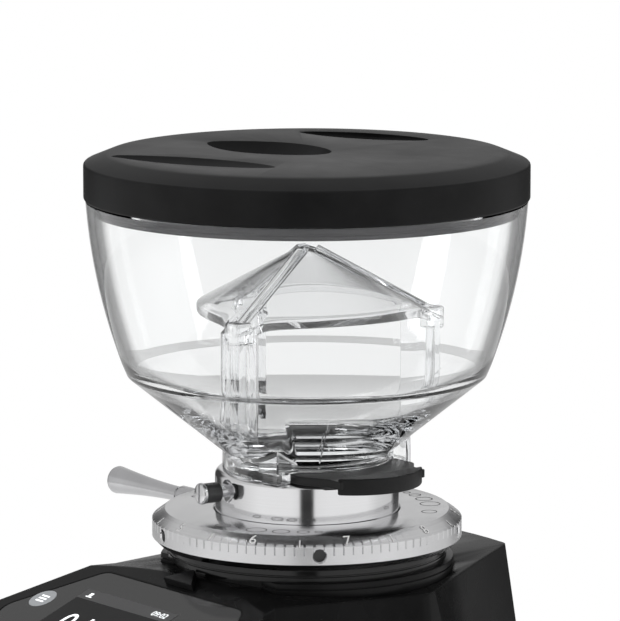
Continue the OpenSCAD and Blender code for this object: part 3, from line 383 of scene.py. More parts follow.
@dataclass(frozen=True)
class Clear(Finish):
    """Clear moulded plastic with a faint ripple from the mould, its colour painted darker where one looks along a wall:
    painted shade for the dark edges a clear shell shows.
    """

    ior: float = 1.5
    roughness: float = 0.0
    ripple_mm: float = 0.03
    density: float = 22.0

    def paint(self, sheet: NodeSheet) -> None:
        """Full transmission over a slow ripple, with a little absorption inside and a base colour painted darker at
        grazing angles as painted shade.
        """
        ripple = sheet.noise(sheet.place(), 0.05, 1.0)
        sheet.set(Transmission_Weight=1.0, IOR=self.ior, Roughness=self.roughness)
        # Painted shade: the base colour turns darker towards grazing view angles, standing in for the dark edges seen
        # along a clear wall.
        along = sheet.node("ShaderNodeLayerWeight", Blend=0.5)
        wall = sheet.spread(along.outputs["Facing"], 0.0, 1.0, 0.5, 0.88)
        sheet.blend_colours(wall, self.colour, [c * 0.14 for c in self.colour])
        inside = sheet.node("ShaderNodeVolumeAbsorption", Density=self.density)
        inside.inputs["Color"].default_value = (0.79, 0.80, 0.815, 1)
        sheet.link(inside.outputs["Volume"], sheet.output.inputs["Volume"])
        sheet.bump(ripple, 0.35, self.ripple_mm)


@dataclass(frozen=True)
class Gloss(Finish):
    """Black glass or lacquer with a hard coat and faint dust."""

    roughness: float = 0.06
    edge_mm: float = 0.3
    coat: float = 0.6
    gloss: float = 0.5

    def paint(self, sheet: NodeSheet) -> None:
        """A smooth coat, with a trace of haze in its roughness."""
        haze = sheet.noise(sheet.place(), 0.08, 3.0)
        rough = sheet.spread(haze, self.roughness * 0.7, self.roughness * 1.4)
        sheet.link(rough, sheet.shader.inputs["Roughness"])
        sheet.blend_colours(haze, self.colour, [c * 1.15 + 0.001 for c in self.colour])
        sheet.set(Coat_Weight=self.coat, Coat_Roughness=0.03, Specular_IOR_Level=self.gloss)
        sheet.bump(haze, 0.1, 0.01, self.edge_mm)


@dataclass(frozen=True)
class Lit(Finish):
    """A printed or lit mark that shows at its own colour."""

    glow: float = 1.0

    def paint(self, sheet: NodeSheet) -> None:
        """Emission with a faint unevenness under a matt face."""
        haze = sheet.noise(sheet.place(), 0.4, 2.0)
        sheet.blend_colours(haze, [c * 0.93 for c in self.colour], self.colour)
        sheet.set(Emission_Color=(*self.colour, 1), Emission_Strength=self.glow, Roughness=0.4)


@dataclass(frozen=True)
class Coil(Finish):
    """Enamelled wire laid round the motor axis."""

    wire_mm: float = 0.9

    def paint(self, sheet: NodeSheet) -> None:
        """Strands in bump and colour."""
        place = sheet.place(1.0, (0.25, 0.25, 1.0))
        strand = sheet.node("ShaderNodeTexWave", bands_direction="Z", Scale=1.0 / self.wire_mm, Distortion=1.2)
        sheet.link(place, strand.inputs["Vector"])
        sheet.blend_colours(strand.outputs["Fac"], [c * 0.45 for c in self.colour], self.colour, 0.1, 0.7)
        sheet.set(Roughness=0.3, Coat_Weight=0.4)
        sheet.bump(strand.outputs["Fac"], 0.8, 0.2)


class Finishes:
    """Every finish of the grinder, by the name its maker would use."""

    LID = Moulded("lid_plastic", "lid_black", (0.006, 0.006, 0.0062), 0.42, 0.45, 0.010, 0.4, gloss=0.11)
    SEAL = Moulded("seal_rubber", "seal_rubber", (0.004, 0.004, 0.0041), 0.6, 0.6, 0.02, 0.3, gloss=0.05)
    FOOT = Moulded("foot_rubber", "seal_rubber", (0.045, 0.045, 0.047), 0.7, 0.8, 0.05, 0.8)
    BOWL = Clear("bowl_plastic", "clear_bowl", (0.985, 0.99, 0.99), 1.45)
    GUARD = Clear("guard_plastic", "clear_bowl", (0.985, 0.987, 0.99), 1.46)
    GATE = Moulded("gate_plastic", "black_plastic", (0.006, 0.006, 0.0062), 0.40, 0.5, 0.02, 0.5, gloss=0.22)
    KNOB = Moulded("knob_plastic", "black_plastic", (0.045, 0.045, 0.046), 0.32, 0.4, 0.02, 0.3, gloss=0.4)
    COLLAR = Turned("collar_metal", "polished_steel", (0.80, 0.80, 0.81), 0.10, 0.45)
    RING = Turned("ring_metal", "turned_aluminium", (0.78, 0.78, 0.79), 0.20, 0.75)
    LEVER = Metal("lever_metal", "polished_steel", (0.56, 0.56, 0.57), 0.15, (0.15, 1.0, 1.0), 1.5)
    SCREW_BRIGHT = Metal("screw_bright", "polished_steel", (0.75, 0.75, 0.76), 0.2)
    # Engraved numerals and ticks, coloured bright as a painted highlight of the lit walls of their engraving.
    MARK_AND_HIGHLIGHT = Moulded("engraved_mark_painted_highlight", "turned_aluminium", (0.62, 0.62, 0.62), 0.45, 0.3, 0.002, 0.0)
    # Dark engraved lines of the circles on the ring's flat, and also painted shadow beside the numerals and ticks and
    # painted shade in the lever holes.
    ENGRAVED_AND_SHADE = Moulded("engraved_dark_and_painted_shade", "turned_aluminium", (0.05, 0.05, 0.05), 0.5, 0.3, 0.002, 0.0)
    CHAMBER = Gloss("chamber_coat", "cast_black", (0.005, 0.005, 0.005), 0.16, 0.4, 0.2, 0.3)
    FLANGE = Moulded("flange_coat", "grey_paint", (0.004, 0.004, 0.0041), 0.30, 0.5, 0.006, 0.3, gloss=0.14)
    POINTER = Moulded("pointer_coat", "grey_paint", (0.006, 0.006, 0.0062), 0.34, 0.5, 0.006, 0.2, gloss=0.16)
    CASING = Moulded("casing_coat", "satin_black", (0.004, 0.004, 0.0041), 0.27, 0.28, 0.010, 1.6, gloss=0.07)
    BASE = Moulded("base_coat", "base_coat", (0.006, 0.006, 0.0062), 0.34, 0.3, 0.016, 1.5, gloss=0.12)
    PANEL = Gloss("panel_glass", "panel_glass", (0.002, 0.002, 0.0021), 0.08, 0.5, 0.02, 0.02)
    SCREEN = Gloss("screen_glass", "display_face", (0.004, 0.004, 0.0042), 0.05, 0.0, 0.05, 0.08)
    STRIP = Lit("screen_strip", "display_face", (0.035, 0.035, 0.036), 0.3)
    INK = Lit("screen_ink", "display_face", (0.85, 0.87, 0.88), 0.9)
    KEY = Lit("key_print", "display_face", (0.24, 0.25, 0.26), 0.4)
    BURR = Metal("burr_steel", "burr_steel", (0.46, 0.47, 0.49), 0.28, (1, 1, 1), 2.0)
    FASTENER = Metal("fastener_steel", "screw_steel", (0.36, 0.37, 0.38), 0.3, (1, 1, 1), 2.0)
    SPRING = Metal("spring_steel", "spring_steel", (0.62, 0.63, 0.64), 0.2, (1, 1, 1), 2.0)
    CAST = Metal("cast_aluminium", "cast_aluminium", (0.52, 0.53, 0.54), 0.45, (1, 1, 1), 0.8, 0.06)
    STACK = Metal("lamination_steel", "lamination_steel", (0.32, 0.33, 0.34), 0.4, (0.02, 0.02, 2.0), 1.0, 0.05)
    WINDING = Coil("winding_wire", "copper_winding", (0.52, 0.20, 0.07))
    CAN = Metal("capacitor_can", "capacitor_can", (0.66, 0.67, 0.68), 0.3, (1, 1, 0.1), 1.0)
    BOARD = Moulded("board_lacquer", "board_green", (0.02, 0.14, 0.05), 0.35, 1.5, 0.03, 0.0)
    FORK = Metal("fork_steel", "fork_steel", (0.62, 0.63, 0.64), 0.24, (1.0, 0.08, 1.0), 1.5)
    COVER = Metal("cover_sheet", "cover_steel", (0.34, 0.35, 0.36), 0.4, (1, 1, 1), 0.6)
    TRAY = Metal("tray_steel", "tray_steel", (0.60, 0.61, 0.62), 0.27, (0.06, 1.0, 1.0), 1.5)
    SPOUT = Moulded("spout_plastic", "black_plastic", (0.02, 0.02, 0.02), 0.35, 0.5, 0.012, 0.6)


# ---------------------------------------------------------------- modelling


def finish_mesh(bm: bmesh.types.BMesh, name: str, body: Body, finish: Finish,
                sharp_deg: float = 35.0, local: bool = True) -> bpy.types.Object:
    """Turns a finished bmesh into a piece that rides on a body.

    Args:
        bm: the mesh, in millimetres about the datum if local, else in metres in the frame.
        name: the piece's name.
        body: the body it rides on.
        finish: its finish.
        sharp_deg: edges sharper than this stay sharp in shading.
        local: whether the mesh still has to be moved to its place.

    Returns:
        The new object.
    """
    if local:
        bmesh.ops.transform(bm, matrix=DATUM.matrix(), verts=bm.verts)
    mesh = bpy.data.meshes.new(name)
    bm.to_mesh(mesh)
    bm.free()
    for polygon in mesh.polygons:
        polygon.use_smooth = True
    mesh.set_sharp_from_angle(angle=math.radians(sharp_deg))
    made = bpy.data.objects.new(name, mesh)
    bpy.context.scene.collection.objects.link(made)
    made.data.materials.append(finish.material())
    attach(made, body.value)
    LOG.info("%s: %d faces on %s", name, len(mesh.polygons), body.value)
    return made


def recalculated(bm: bmesh.types.BMesh) -> bmesh.types.BMesh:
    """The mesh with doubles merged and its faces turned outwards."""
    bmesh.ops.remove_doubles(bm, verts=bm.verts, dist=1e-4)
    bmesh.ops.recalc_face_normals(bm, faces=bm.faces)
    return bm


def lathe(profile: Profile, steps: int = ROUND_STEPS, closed: bool = False) -> bmesh.types.BMesh:
    """Spins a profile of (radius, height) points round the burr axis.

    Args:
        profile: the points, in millimetres.
        steps: how many steps a turn has.
        closed: whether the last point joins the first.

    Returns:
        The closed mesh.
    """
    bm = bmesh.new()
    verts = [bm.verts.new((r, 0, z)) for r, z in profile]
    edges = [bm.edges.new(pair) for pair in zip(verts, verts[1:])]
    if closed:
        edges.append(bm.edges.new((verts[-1], verts[0])))
    bmesh.ops.spin(bm, geom=verts + edges, cent=(0, 0, 0), axis=(0, 0, 1),
                   angle=2 * math.pi, steps=steps, use_merge=True)
    return recalculated(bm)


def arc(centre: tuple[float, float], radius: float, start: float, end: float,
        steps: int = 6) -> list[tuple[float, float]]:
    """Points on an arc in the (radius, height) plane.

    Args:
        centre: the arc's centre.
        radius: its radius.
        start: the first angle, in degrees.
        end: the last angle, in degrees.
        steps: how many steps it has.

    Returns:
        The points.
    """
    angles = [math.radians(start + (end - start) * i / steps) for i in range(steps + 1)]
    return [(centre[0] + radius * math.cos(a), centre[1] + radius * math.sin(a)) for a in angles]


def plate(points: Sequence[tuple[float, float]], low: float, high: float) -> bmesh.types.BMesh:
    """An upright prism over a plan outline.

    Args:
        points: the outline, anticlockwise from above.
        low: the height of its underside.
        high: the height of its top.

    Returns:
        The closed mesh.
    """
    bm = bmesh.new()
    face = bm.faces.new([bm.verts.new((x, y, low)) for x, y in points])
    grown = bmesh.ops.extrude_face_region(bm, geom=[face])
    moved = [g for g in grown["geom"] if isinstance(g, bmesh.types.BMVert)]
    bmesh.ops.translate(bm, vec=(0, 0, high - low), verts=moved)
    bmesh.ops.recalc_face_normals(bm, faces=bm.faces)
    return bm


def soften(bm: bmesh.types.BMesh, width: float, segments: int = 2, angle_deg: float = 30.0,
           chosen: Callable[[bmesh.types.BMEdge], bool] | None = None) -> bmesh.types.BMesh:
    """Bevels the sharp edges of a mesh.

    Args:
        bm: the mesh.
        width: the bevel's width.
        segments: how many steps it has.
        angle_deg: edges sharper than this are bevelled.
        chosen: a further test that an edge has to pass.

    Returns:
        The same mesh.
    """
    limit = math.radians(angle_deg)
    edges = [e for e in bm.edges if len(e.link_faces) == 2 and e.calc_face_angle(0) > limit
             and (chosen is None or chosen(e))]
    bmesh.ops.bevel(bm, geom=edges, offset=width, offset_type="OFFSET", segments=segments,
                    profile=0.5, affect="EDGES", clamp_overlap=True, material=-1)
    return bm


def cut(bm: bmesh.types.BMesh, cutters: Iterable[bmesh.types.BMesh], mode: str = "DIFFERENCE") -> bmesh.types.BMesh:
    """Applies boolean cutters to a mesh.

    Args:
        bm: the mesh to cut.
        cutters: the cutting meshes, which are used up.
        mode: DIFFERENCE, UNION or INTERSECT.

    Returns:
        The result, in place of bm.
    """
    scene = bpy.context.scene.collection.objects
    base = bpy.data.objects.new("work_base", bpy.data.meshes.new("work_base"))
    bm.to_mesh(base.data)
    bm.free()
    scene.link(base)
    tools = []
    for cutter in cutters:
        tool = bpy.data.objects.new("work_tool", bpy.data.meshes.new("work_tool"))
        cutter.to_mesh(tool.data)
        cutter.free()
        scene.link(tool)
        tools.append(tool)
        step = base.modifiers.new("cut", "BOOLEAN")
        step.operation, step.object, step.solver = mode, tool, "EXACT"
        step.use_self = False
    bpy.context.view_layer.update()
    result = bmesh.new()
    result.from_mesh(base.evaluated_get(bpy.context.evaluated_depsgraph_get()).data)
    for used in [base, *tools]:
        mesh = used.data
        bpy.data.objects.remove(used)
        bpy.data.meshes.remove(mesh)
    return result


def joined(parts: Iterable[bmesh.types.BMesh]) -> bmesh.types.BMesh:
    """Puts several meshes into one.

    Args:
        parts: the meshes, which are used up.

    Returns:
        One mesh with all of them.
    """
    whole = bmesh.new()
    for part in parts:
        holder = bpy.data.meshes.new("holder")
        part.to_mesh(holder)
        part.free()
        whole.from_mesh(holder)
        bpy.data.meshes.remove(holder)
    return whole


def moved(bm: bmesh.types.BMesh, matrix: Matrix) -> bmesh.types.BMesh:
    """The mesh after a transform."""
    bmesh.ops.transform(bm, matrix=matrix, verts=bm.verts)
    return bm


def block(x: tuple[float, float], y: tuple[float, float], z: tuple[float, float]) -> bmesh.types.BMesh:
    """A box between two corners.

    Args:
        x: its lowest and highest x.
        y: its lowest and highest y.
        z: its lowest and highest z.

    Returns:
        The closed mesh.
    """
    bm = bmesh.new()
    bmesh.ops.create_cube(bm, size=1.0)
    centre = ((x[0] + x[1]) / 2, (y[0] + y[1]) / 2, (z[0] + z[1]) / 2)
    size = Matrix.Diagonal((x[1] - x[0], y[1] - y[0], z[1] - z[0], 1))
    return moved(bm, Matrix.Translation(centre) @ size)


def rod(radius: float, low: float, high: float, steps: int = 32, top_radius: float | None = None) -> bmesh.types.BMesh:
    """An upright cylinder or cone on the burr axis.

    Args:
        radius: its radius at the bottom.
        low: its lower end.
        high: its upper end.
        steps: sides.
        top_radius: its radius at the top, if that differs.

    Returns:
        The closed mesh.
    """
    bm = bmesh.new()
    bmesh.ops.create_cone(bm, cap_ends=True, segments=steps, radius1=radius,
                          radius2=radius if top_radius is None else top_radius, depth=high - low)
    return moved(bm, Matrix.Translation((0, 0, (low + high) / 2)))


def turned_to(angle_deg: float, radius: float = 0.0, z: float = 0.0, lay: bool = False) -> Matrix:
    """A place at an angle round the burr axis.

    Args:
        angle_deg: the angle from +X.
        radius: the distance from the axis.
        z: the height.
        lay: whether the piece's own Z is laid outwards.

    Returns:
        The transform.
    """
    place = Matrix.Rotation(math.radians(angle_deg), 4, "Z") @ Matrix.Translation((radius, 0, z))
    return place @ Matrix.Rotation(math.pi / 2, 4, "Y") if lay else place


def outward(bm: bmesh.types.BMesh) -> bmesh.types.BMesh:
    """The mesh with its faces turned outwards."""
    bmesh.ops.recalc_face_normals(bm, faces=bm.faces)
    return bm


def node_copy(name: str, flat_deg: float = 0.5) -> bmesh.types.BMesh:
    """A merged copy of a CAD node in metres in the frame, with its flat faces made whole.

    Args:
        name: the node.
        flat_deg: neighbouring faces within this angle become one face.

    Returns:
        The mesh.
    """
    source = frame["nodes"][name]
    bm = bmesh.new()
    bm.from_mesh(source.data)
    bmesh.ops.transform(bm, matrix=source.matrix_world, verts=bm.verts)
    bmesh.ops.remove_doubles(bm, verts=bm.verts, dist=2e-6)
    bmesh.ops.dissolve_limit(bm, angle_limit=math.radians(flat_deg), verts=bm.verts, edges=bm.edges,
                             use_dissolve_boundaries=False, delimit=set())
    return bm


def softened_node(name: str, body: Body, finish: Finish, width_mm: float, segments: int = 3,
                  angle_deg: float = 32.0, flat_deg: float = 0.5) -> bpy.types.Object:
    """Replaces a CAD node by a copy with rounded edges.

    Args:
        name: the node.
        body: the body it belongs to.
        finish: its finish.
        width_mm: the width of the rounding.
        segments: how many steps the rounding has.
        angle_deg: edges sharper than this are rounded.
        flat_deg: neighbouring faces within this angle become one face.

    Returns:
        The new piece.
    """
    made = finish_mesh(node_copy(name, flat_deg), f"{name}_form", body, finish, 38.0, local=False)
    rounding = made.modifiers.new("rounding", "BEVEL")
    rounding.width = width_mm * MM
    rounding.segments = segments
    rounding.limit_method = "ANGLE"
    rounding.angle_limit = math.radians(angle_deg)
    rounding.harden_normals = True
    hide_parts(name)
    return made


# ---------------------------------------------------------------- hopper


@dataclass
class Scoop:
    """One leaf-shaped hollow in the lid's top."""

    centre: tuple[float, float]
    length: float
    width: float
    depth: float
    turn_deg: float
    lean: float = 0.0

    def cutter(self, top: float) -> bmesh.types.BMesh:
        """A leaf whose two long sides curve down to a keel.

        Args:
            top: the height of the lid's top.

        Returns:
            The cutting mesh.
        """
        bm = bmesh.new()
        bmesh.ops.create_uvsphere(bm, u_segments=64, v_segments=32, radius=1.0)
        bmesh.ops.transform(bm, matrix=Matrix.Diagonal((self.length / 2, self.width / 2, self.depth, 1)),
                            verts=bm.verts)
        for vert in bm.verts:
            along = vert.co.x / (self.length / 2)
            vert.co.y *= 1 - 0.35 * along * along * (1 if along < 0 else 0.3)
            vert.co.y += self.lean * vert.co.z
        place = Matrix.Translation((*self.centre, top)) @ Matrix.Rotation(math.radians(self.turn_deg), 4, "Z")
        return moved(bm, place)


@dataclass
class HopperLid:
    """The black lid with its sloping edge and its three hollows."""

    outer_r: float = 95.0
    rest_z: float = 138.1
    wall_h: float = 14.6
    bevel_w: float = 10.2
    bevel_h: float = 5.0
    plug_r: float = 90.0
    thick: float = 3.0
    scoops: tuple[Scoop, ...] = (
        Scoop((-20.5, -5.0), 65.0, 38.0, 13.0, 11.7, 0.35),
        Scoop((-27.1, 52.5), 63.0, 20.0, 6.5, 24.0, -0.5),
        Scoop((-4.0, -57.5), 80.0, 22.0, 6.0, 22.0, 0.9),
    )

    def profile(self) -> list[tuple[float, float]]:
        """The lid's section, from the middle of its underside to the middle of its top."""
        top = self.rest_z + self.wall_h + self.bevel_h
        wall = self.rest_z + self.wall_h
        flat_r = self.outer_r - self.bevel_w - 4
        inner = self.plug_r - self.thick
        slope = math.atan2(self.bevel_h, self.bevel_w)
        edge = 1.3
        corner = (self.outer_r - edge, wall - edge * math.tan(math.pi / 4 - slope / 2) * 0.5)
        points = [(0, top - self.thick), (flat_r, top - self.thick), (inner, wall - self.thick),
                  (inner, self.rest_z), (self.outer_r - 1.4, self.rest_z)]
        points += arc((self.outer_r - 0.9, self.rest_z + 0.9), 0.9, -90, 0, 4)
        points += arc(corner, edge, 0, 90 - math.degrees(slope) * 0.9, 5)
        points += [(self.outer_r - self.bevel_w + 0.9, top - 0.75), (self.outer_r - self.bevel_w, top - 0.42),
                   (self.outer_r - self.bevel_w - 1.2, top - 0.2), (flat_r, top), (0, top)]
        return points

    def build(self) -> bpy.types.Object:
        """Turns the lid and hollows it, over a floor for each hollow.

        Returns:
            The lid.
        """
        top = self.rest_z + self.wall_h + self.bevel_h
        body = lathe(self.profile())
        floors = []
        for scoop in self.scoops:
            deeper = Scoop(scoop.centre, scoop.length + 6, scoop.width + 6, scoop.depth + 2.4, scoop.turn_deg, scoop.lean)
            dish = deeper.cutter(top)
            floors.append(cut(dish, [block((-200, 200), (-200, 200), (top - 1.5, top + 60))]))
        body = cut(body, floors, "UNION")
        body = cut(body, [scoop.cutter(top + 0.6) for scoop in self.scoops])
        soften(body, 0.7, 3, 24, lambda e: min(v.co.z for v in e.verts) > top - 0.6
               and max(v.co.xy.length for v in e.verts) < self.outer_r - self.bevel_w - 3)
        made = finish_mesh(body, "hopper_lid_form", Body.LID, Finishes.LID, 28)
        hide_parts("hopper_lid")
        return made

    def build_seal(self) -> bpy.types.Object:
        """The rubber ring under the lid, with two lips."""
        low = self.rest_z - 5.6
        out = self.plug_r + 0.5
        bm = lathe([(out - 5, self.rest_z), (out - 5, low + 1), (out - 4, low), (out - 0.7, low),
                    (out - 0.1, low + 0.7), (out - 0.1, low + 1.6), (out - 0.7, low + 2.1), (out - 0.7, low + 2.7),
                    (out, low + 3.2), (out, self.rest_z)], closed=True)
        made = finish_mesh(bm, "lid_seal_form", Body.LID, Finishes.SEAL)
        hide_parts("lid_seal")
        return made


@dataclass
class HopperBowl:
    """The clear bowl with its funnel, neck and gate housing."""

    rim_z: float = 138.0
    rim_r: float = 94.2
    shoulder_z: float = 62.7
    shoulder_r: float = 77.3
    bulge: float = 3.0
    thick: float = 3.0
    slope_deg: float = 39.0
    neck_r: float = 36.3
    collar_z: float = 21.5
    throat_r: float = 25.0
    throat_z: float = 27.9
    housing_x: float = 26.0
    housing_hw: float = 36.5
    housing_h: float = 14.8
    housing_t: float = 2.0
    slot_top: float = 25.9
    slot_hw: float = 29.4

    def side(self, steps: int = 14) -> list[tuple[float, float]]:
        """The bulging side from shoulder to rim."""
        low = Vector((self.shoulder_r, self.shoulder_z))
        high = Vector((self.rim_r, self.rim_z))
        span = high - low
        radius = (span.length ** 2 / 4 + self.bulge ** 2) / (2 * self.bulge)
        half = math.asin(span.length / 2 / radius)
        along = span.normalized()
        out = Vector((along.y, -along.x))
        points = []
        for i in range(steps + 1):
            turn = -half + 2 * half * i / steps
            points.append((low + high) / 2 + along * radius * math.sin(turn)
                          + out * (radius * math.cos(turn) - radius + self.bulge))
        return [(p.x, p.y) for p in points]

    def profile(self) -> list[tuple[float, float]]:
        """The bowl's whole section: spigot, neck, funnel, shoulder and rim, out and in."""
        side = self.side()
        slope = math.tan(math.radians(self.slope_deg))
        neck_top = self.shoulder_z - (self.shoulder_r - self.neck_r) * slope
        funnel_in = self.shoulder_z + 1.6
        funnel_end = self.shoulder_r - self.thick - (funnel_in - self.throat_z) / slope
        low = self.collar_z - 18
        points = [(self.throat_r, low), (33.5, low), (33.9, low + 0.5), (33.9, self.collar_z + 0.1),
                  (self.neck_r - 0.4, self.collar_z + 0.1), (self.neck_r, self.collar_z + 0.5),
                  (self.neck_r, neck_top - 0.4), (self.neck_r + 0.5, neck_top + 0.5),
                  (self.shoulder_r - 1.2, self.shoulder_z - 1.0), (self.shoulder_r - 0.25, self.shoulder_z - 0.1)]
        points += [(self.shoulder_r + 0.15, self.shoulder_z + 0.8), *side[1:-1]]
        points += [(self.rim_r, self.rim_z - 0.7), (self.rim_r - 0.5, self.rim_z - 0.1),
                   (self.rim_r - self.thick + 0.5, self.rim_z - 0.1), (self.rim_r - self.thick, self.rim_z - 0.7)]
        points += [(r - self.thick, z) for r, z in reversed(side[1:-1])]
        points += [(self.shoulder_r - self.thick + 0.1, funnel_in + 0.6), (self.shoulder_r - self.thick - 0.7, funnel_in - 0.3),
                   (funnel_end + 0.4, self.throat_z + 0.3), (funnel_end - 0.4, self.throat_z),
                   (self.throat_r + 0.6, self.throat_z), (self.throat_r, self.throat_z - 0.6)]
        return points

    def neck_body(self, grow: float) -> bmesh.types.BMesh:
        """The solid inside the outer side of neck and funnel.

        Args:
            grow: how far it stands outside of them.

        Returns:
            The mesh.
        """
        slope = math.tan(math.radians(self.slope_deg))
        neck_top = self.shoulder_z - (self.shoulder_r - self.neck_r) * slope
        wide = 60.0
        return lathe([(0, self.collar_z - 2), (self.neck_r + grow, self.collar_z - 2), (self.neck_r + grow, neck_top - grow),
                      (wide, neck_top - grow + (wide - self.neck_r - grow) * slope), (wide, 70), (0, 70)])

    def neck_void(self) -> bmesh.types.BMesh:
        """The hollow between the funnel's end and the neck's thin wall."""
        slope = math.tan(math.radians(self.slope_deg))
        neck_top = self.shoulder_z - (self.shoulder_r - self.neck_r) * slope
        inner, outer = self.throat_r + 2.2, self.neck_r - 2.0
        low = self.collar_z + 0.4
        return lathe([(inner, low), (outer, low), (outer, neck_top - (self.neck_r - outer) * slope),
                      (inner, neck_top - (self.neck_r - inner) * slope)], closed=True)

    def build(self) -> bpy.types.Object:
        """Turns the bowl, joins the gate's housing to it and cuts the gate's slot.

        Returns:
            The bowl.
        """
        bowl = lathe(self.profile(), closed=True)
        low, high = self.collar_z + 0.12, self.collar_z + self.housing_h
        housing = block((-4, self.housing_x), (-self.housing_hw, self.housing_hw), (low, high))
        soften(housing, 0.8, 2)
        slope = math.tan(math.radians(self.slope_deg))
        funnel_in = self.shoulder_z + 1.6
        end_r = self.shoulder_r - self.thick - (funnel_in - self.throat_z) / slope
        inside = lathe([(0, self.throat_z), (end_r - 0.4, self.throat_z), (end_r + 0.4, self.throat_z + 0.3),
                        (self.shoulder_r - self.thick, funnel_in), (0, funnel_in)])
        wide = self.housing_hw - self.housing_t
        room = cut(block((-2, self.housing_x - self.housing_t), (-wide, wide),
                         (self.slot_top - 0.6, high - self.housing_t)), [self.neck_body(0.3)])
        housing = cut(housing, [room, inside, rod(self.throat_r, 0, 60, ROUND_STEPS)])
        bowl = cut(cut(bowl, [housing], "UNION"), [self.neck_void()])
        slot = block((-self.slot_hw, self.rim_r), (-self.slot_hw, self.slot_hw), (self.collar_z - 0.5, self.slot_top))
        bowl = cut(bowl, [slot])
        made = finish_mesh(bowl, "hopper_bowl_form", Body.HOPPER, Finishes.BOWL, 30)
        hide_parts("hopper_bowl")
        return made


@dataclass
class BeanGuard:
    """The clear roof with three ears that keeps fingers and the weight of the beans off the burrs."""

    top_z: float = 119.0
    slope_deg: float = 28.1
    corner_r: float = 58.4
    side_r: float = 47.2
    bow: float = 2.4
    ear_deg: float = 7.2
    thick: float = 2.4
    rim: float = 3.8
    rim_w: float = 3.2
    rib: float = 1.5
    rib_w: float = 4.8
    cap_r: float = 5.1
    post_r: float = 57.0
    post_d: float = 17.0
    flange_d: float = 6.0
    post_w: float = 14.2
    wall: float = 2.2
    turn_deg: float = 50.0
    floor_z: float = 27.9

    def roof_height(self, radius: float) -> float:
        """The height of the roof's upper side at a distance from the axis, with its tip rounded."""
        return self.top_z - radius * math.tan(math.radians(self.slope_deg)) - 0.9 * math.exp(-radius * radius / 9)

    def reach(self, bearing_deg: float) -> float:
        """The roof's edge: nearly round, with an ear over each post.

        Args:
            bearing_deg: the direction round the burr axis.

        Returns:
            The distance from the axis.
        """
        off = abs((bearing_deg - self.turn_deg + 60) % 120 - 60)
        side = self.side_r + self.bow * ((60 - off) / 50) ** 2
        return side + (self.corner_r - side) / (1 + (off / self.ear_deg) ** 4)

    def section(self, edge: float) -> list[tuple[float, float]]:
        """Half of the roof's section out to its edge: upper side, rounded rim and the sloping way back.

        Args:
            edge: the distance of the edge from the axis.

        Returns:
            The points from the tip round to the middle of the underside.
        """
        inner = [0, 1, 2, 3, 5, 8, 14, 22, 30, 37, 42]
        high = self.roof_height(edge)
        points = [(r, self.roof_height(r)) for r in inner]
        points += [(edge - 0.8, high + 0.35), (edge - 0.25, high - 0.05), (edge, high - 0.6),
                   (edge, high - self.rim + 0.7), (edge - 0.25, high - self.rim + 0.15), (edge - 0.8, high - self.rim),
                   (edge - self.rim_w, self.roof_height(edge - self.rim_w) - self.thick)]
        return points + [(r, self.roof_height(r) - self.thick) for r in reversed(inner)]

    def roof(self, steps: int = 360) -> bmesh.types.BMesh:
        """The roof with its rim.

        Args:
            steps: how many sections are drawn round it.

        Returns:
            The closed mesh.
        """
        bm = bmesh.new()
        rows = []
        for i in range(steps):
            bearing = 360 * i / steps
            turn = math.radians(bearing)
            rows.append([bm.verts.new((r * math.cos(turn), r * math.sin(turn), z))
                         for r, z in self.section(self.reach(bearing))])
        for row, after in zip(rows, rows[1:] + rows[:1]):
            for k in range(len(row) - 1):
                bm.faces.new((row[k], row[k + 1], after[k + 1], after[k]))
        return recalculated(bm)

    def under_roof(self) -> bmesh.types.BMesh:
        """All that lies under the middle of the roof's thickness."""
        reach = self.corner_r + 4
        drop = self.thick / 2
        upper = [(r, self.roof_height(r) - drop) for r in (0, 2, 5, 10, reach)]
        return lathe([*upper, (reach, self.floor_z - 5), (0, self.floor_z - 5)])

    def bowl_inside(self, bowl: HopperBowl, clear: float) -> bmesh.types.BMesh:
        """The space in the bowl that the guard has to stay in.

        Args:
            bowl: the bowl.
            clear: the clearance to it.

        Returns:
            The mesh.
        """
        slope = math.tan(math.radians(bowl.slope_deg))
        funnel_in = bowl.shoulder_z + 1.6
        end_r = bowl.shoulder_r - bowl.thick - (funnel_in - bowl.throat_z) / slope
        return lathe([(0, bowl.throat_z + clear), (end_r - clear, bowl.throat_z + clear),
                      (bowl.shoulder_r - bowl.thick - clear, funnel_in + clear), (70, 136), (0, 136)])

    def build(self, bowl: HopperBowl) -> bpy.types.Object:
        """Builds roof, ribs and the three posts as one clear piece.

        Args:
            bowl: the bowl that it stands in.

        Returns:
            The guard.
        """
        parts = []
        for third in range(3):
            turn = turned_to(self.turn_deg + 120 * third)
            parts.append(moved(self.ridge(), turn))
            post = cut(moved(self.post(), turn), [self.bowl_inside(bowl, 0.4)], "INTERSECT")
            parts.append(cut(post, [self.under_roof()], "INTERSECT"))
        guard = cut(self.roof(), parts, "UNION")
        made = finish_mesh(guard, "bean_guard_form", Body.HOPPER, Finishes.GUARD, 30)
        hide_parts("bean_guard")
        return made

    def ridge(self) -> bmesh.types.BMesh:
        """A raised rib from near the tip down to a corner, with a round boss at its end."""
        slope = math.radians(self.slope_deg)
        start, end = 4.0, self.corner_r - self.cap_r
        half = self.rib_w / 2
        rib = block((0, (end - start) / math.cos(slope)), (-half, half), (-self.thick - 0.6, self.rib))
        soften(rib, 0.8, 3)
        moved(rib, Matrix.Translation((start, 0, self.roof_height(start))) @ Matrix.Rotation(slope, 4, "Y"))
        cap = rod(self.cap_r, self.roof_height(end) - 7.8, self.roof_height(end) + self.rib - 0.2, 48)
        soften(cap, 0.9, 3)
        moved(cap, Matrix.Translation((end, 0, 0)))
        return cut(rib, [cap], "UNION")

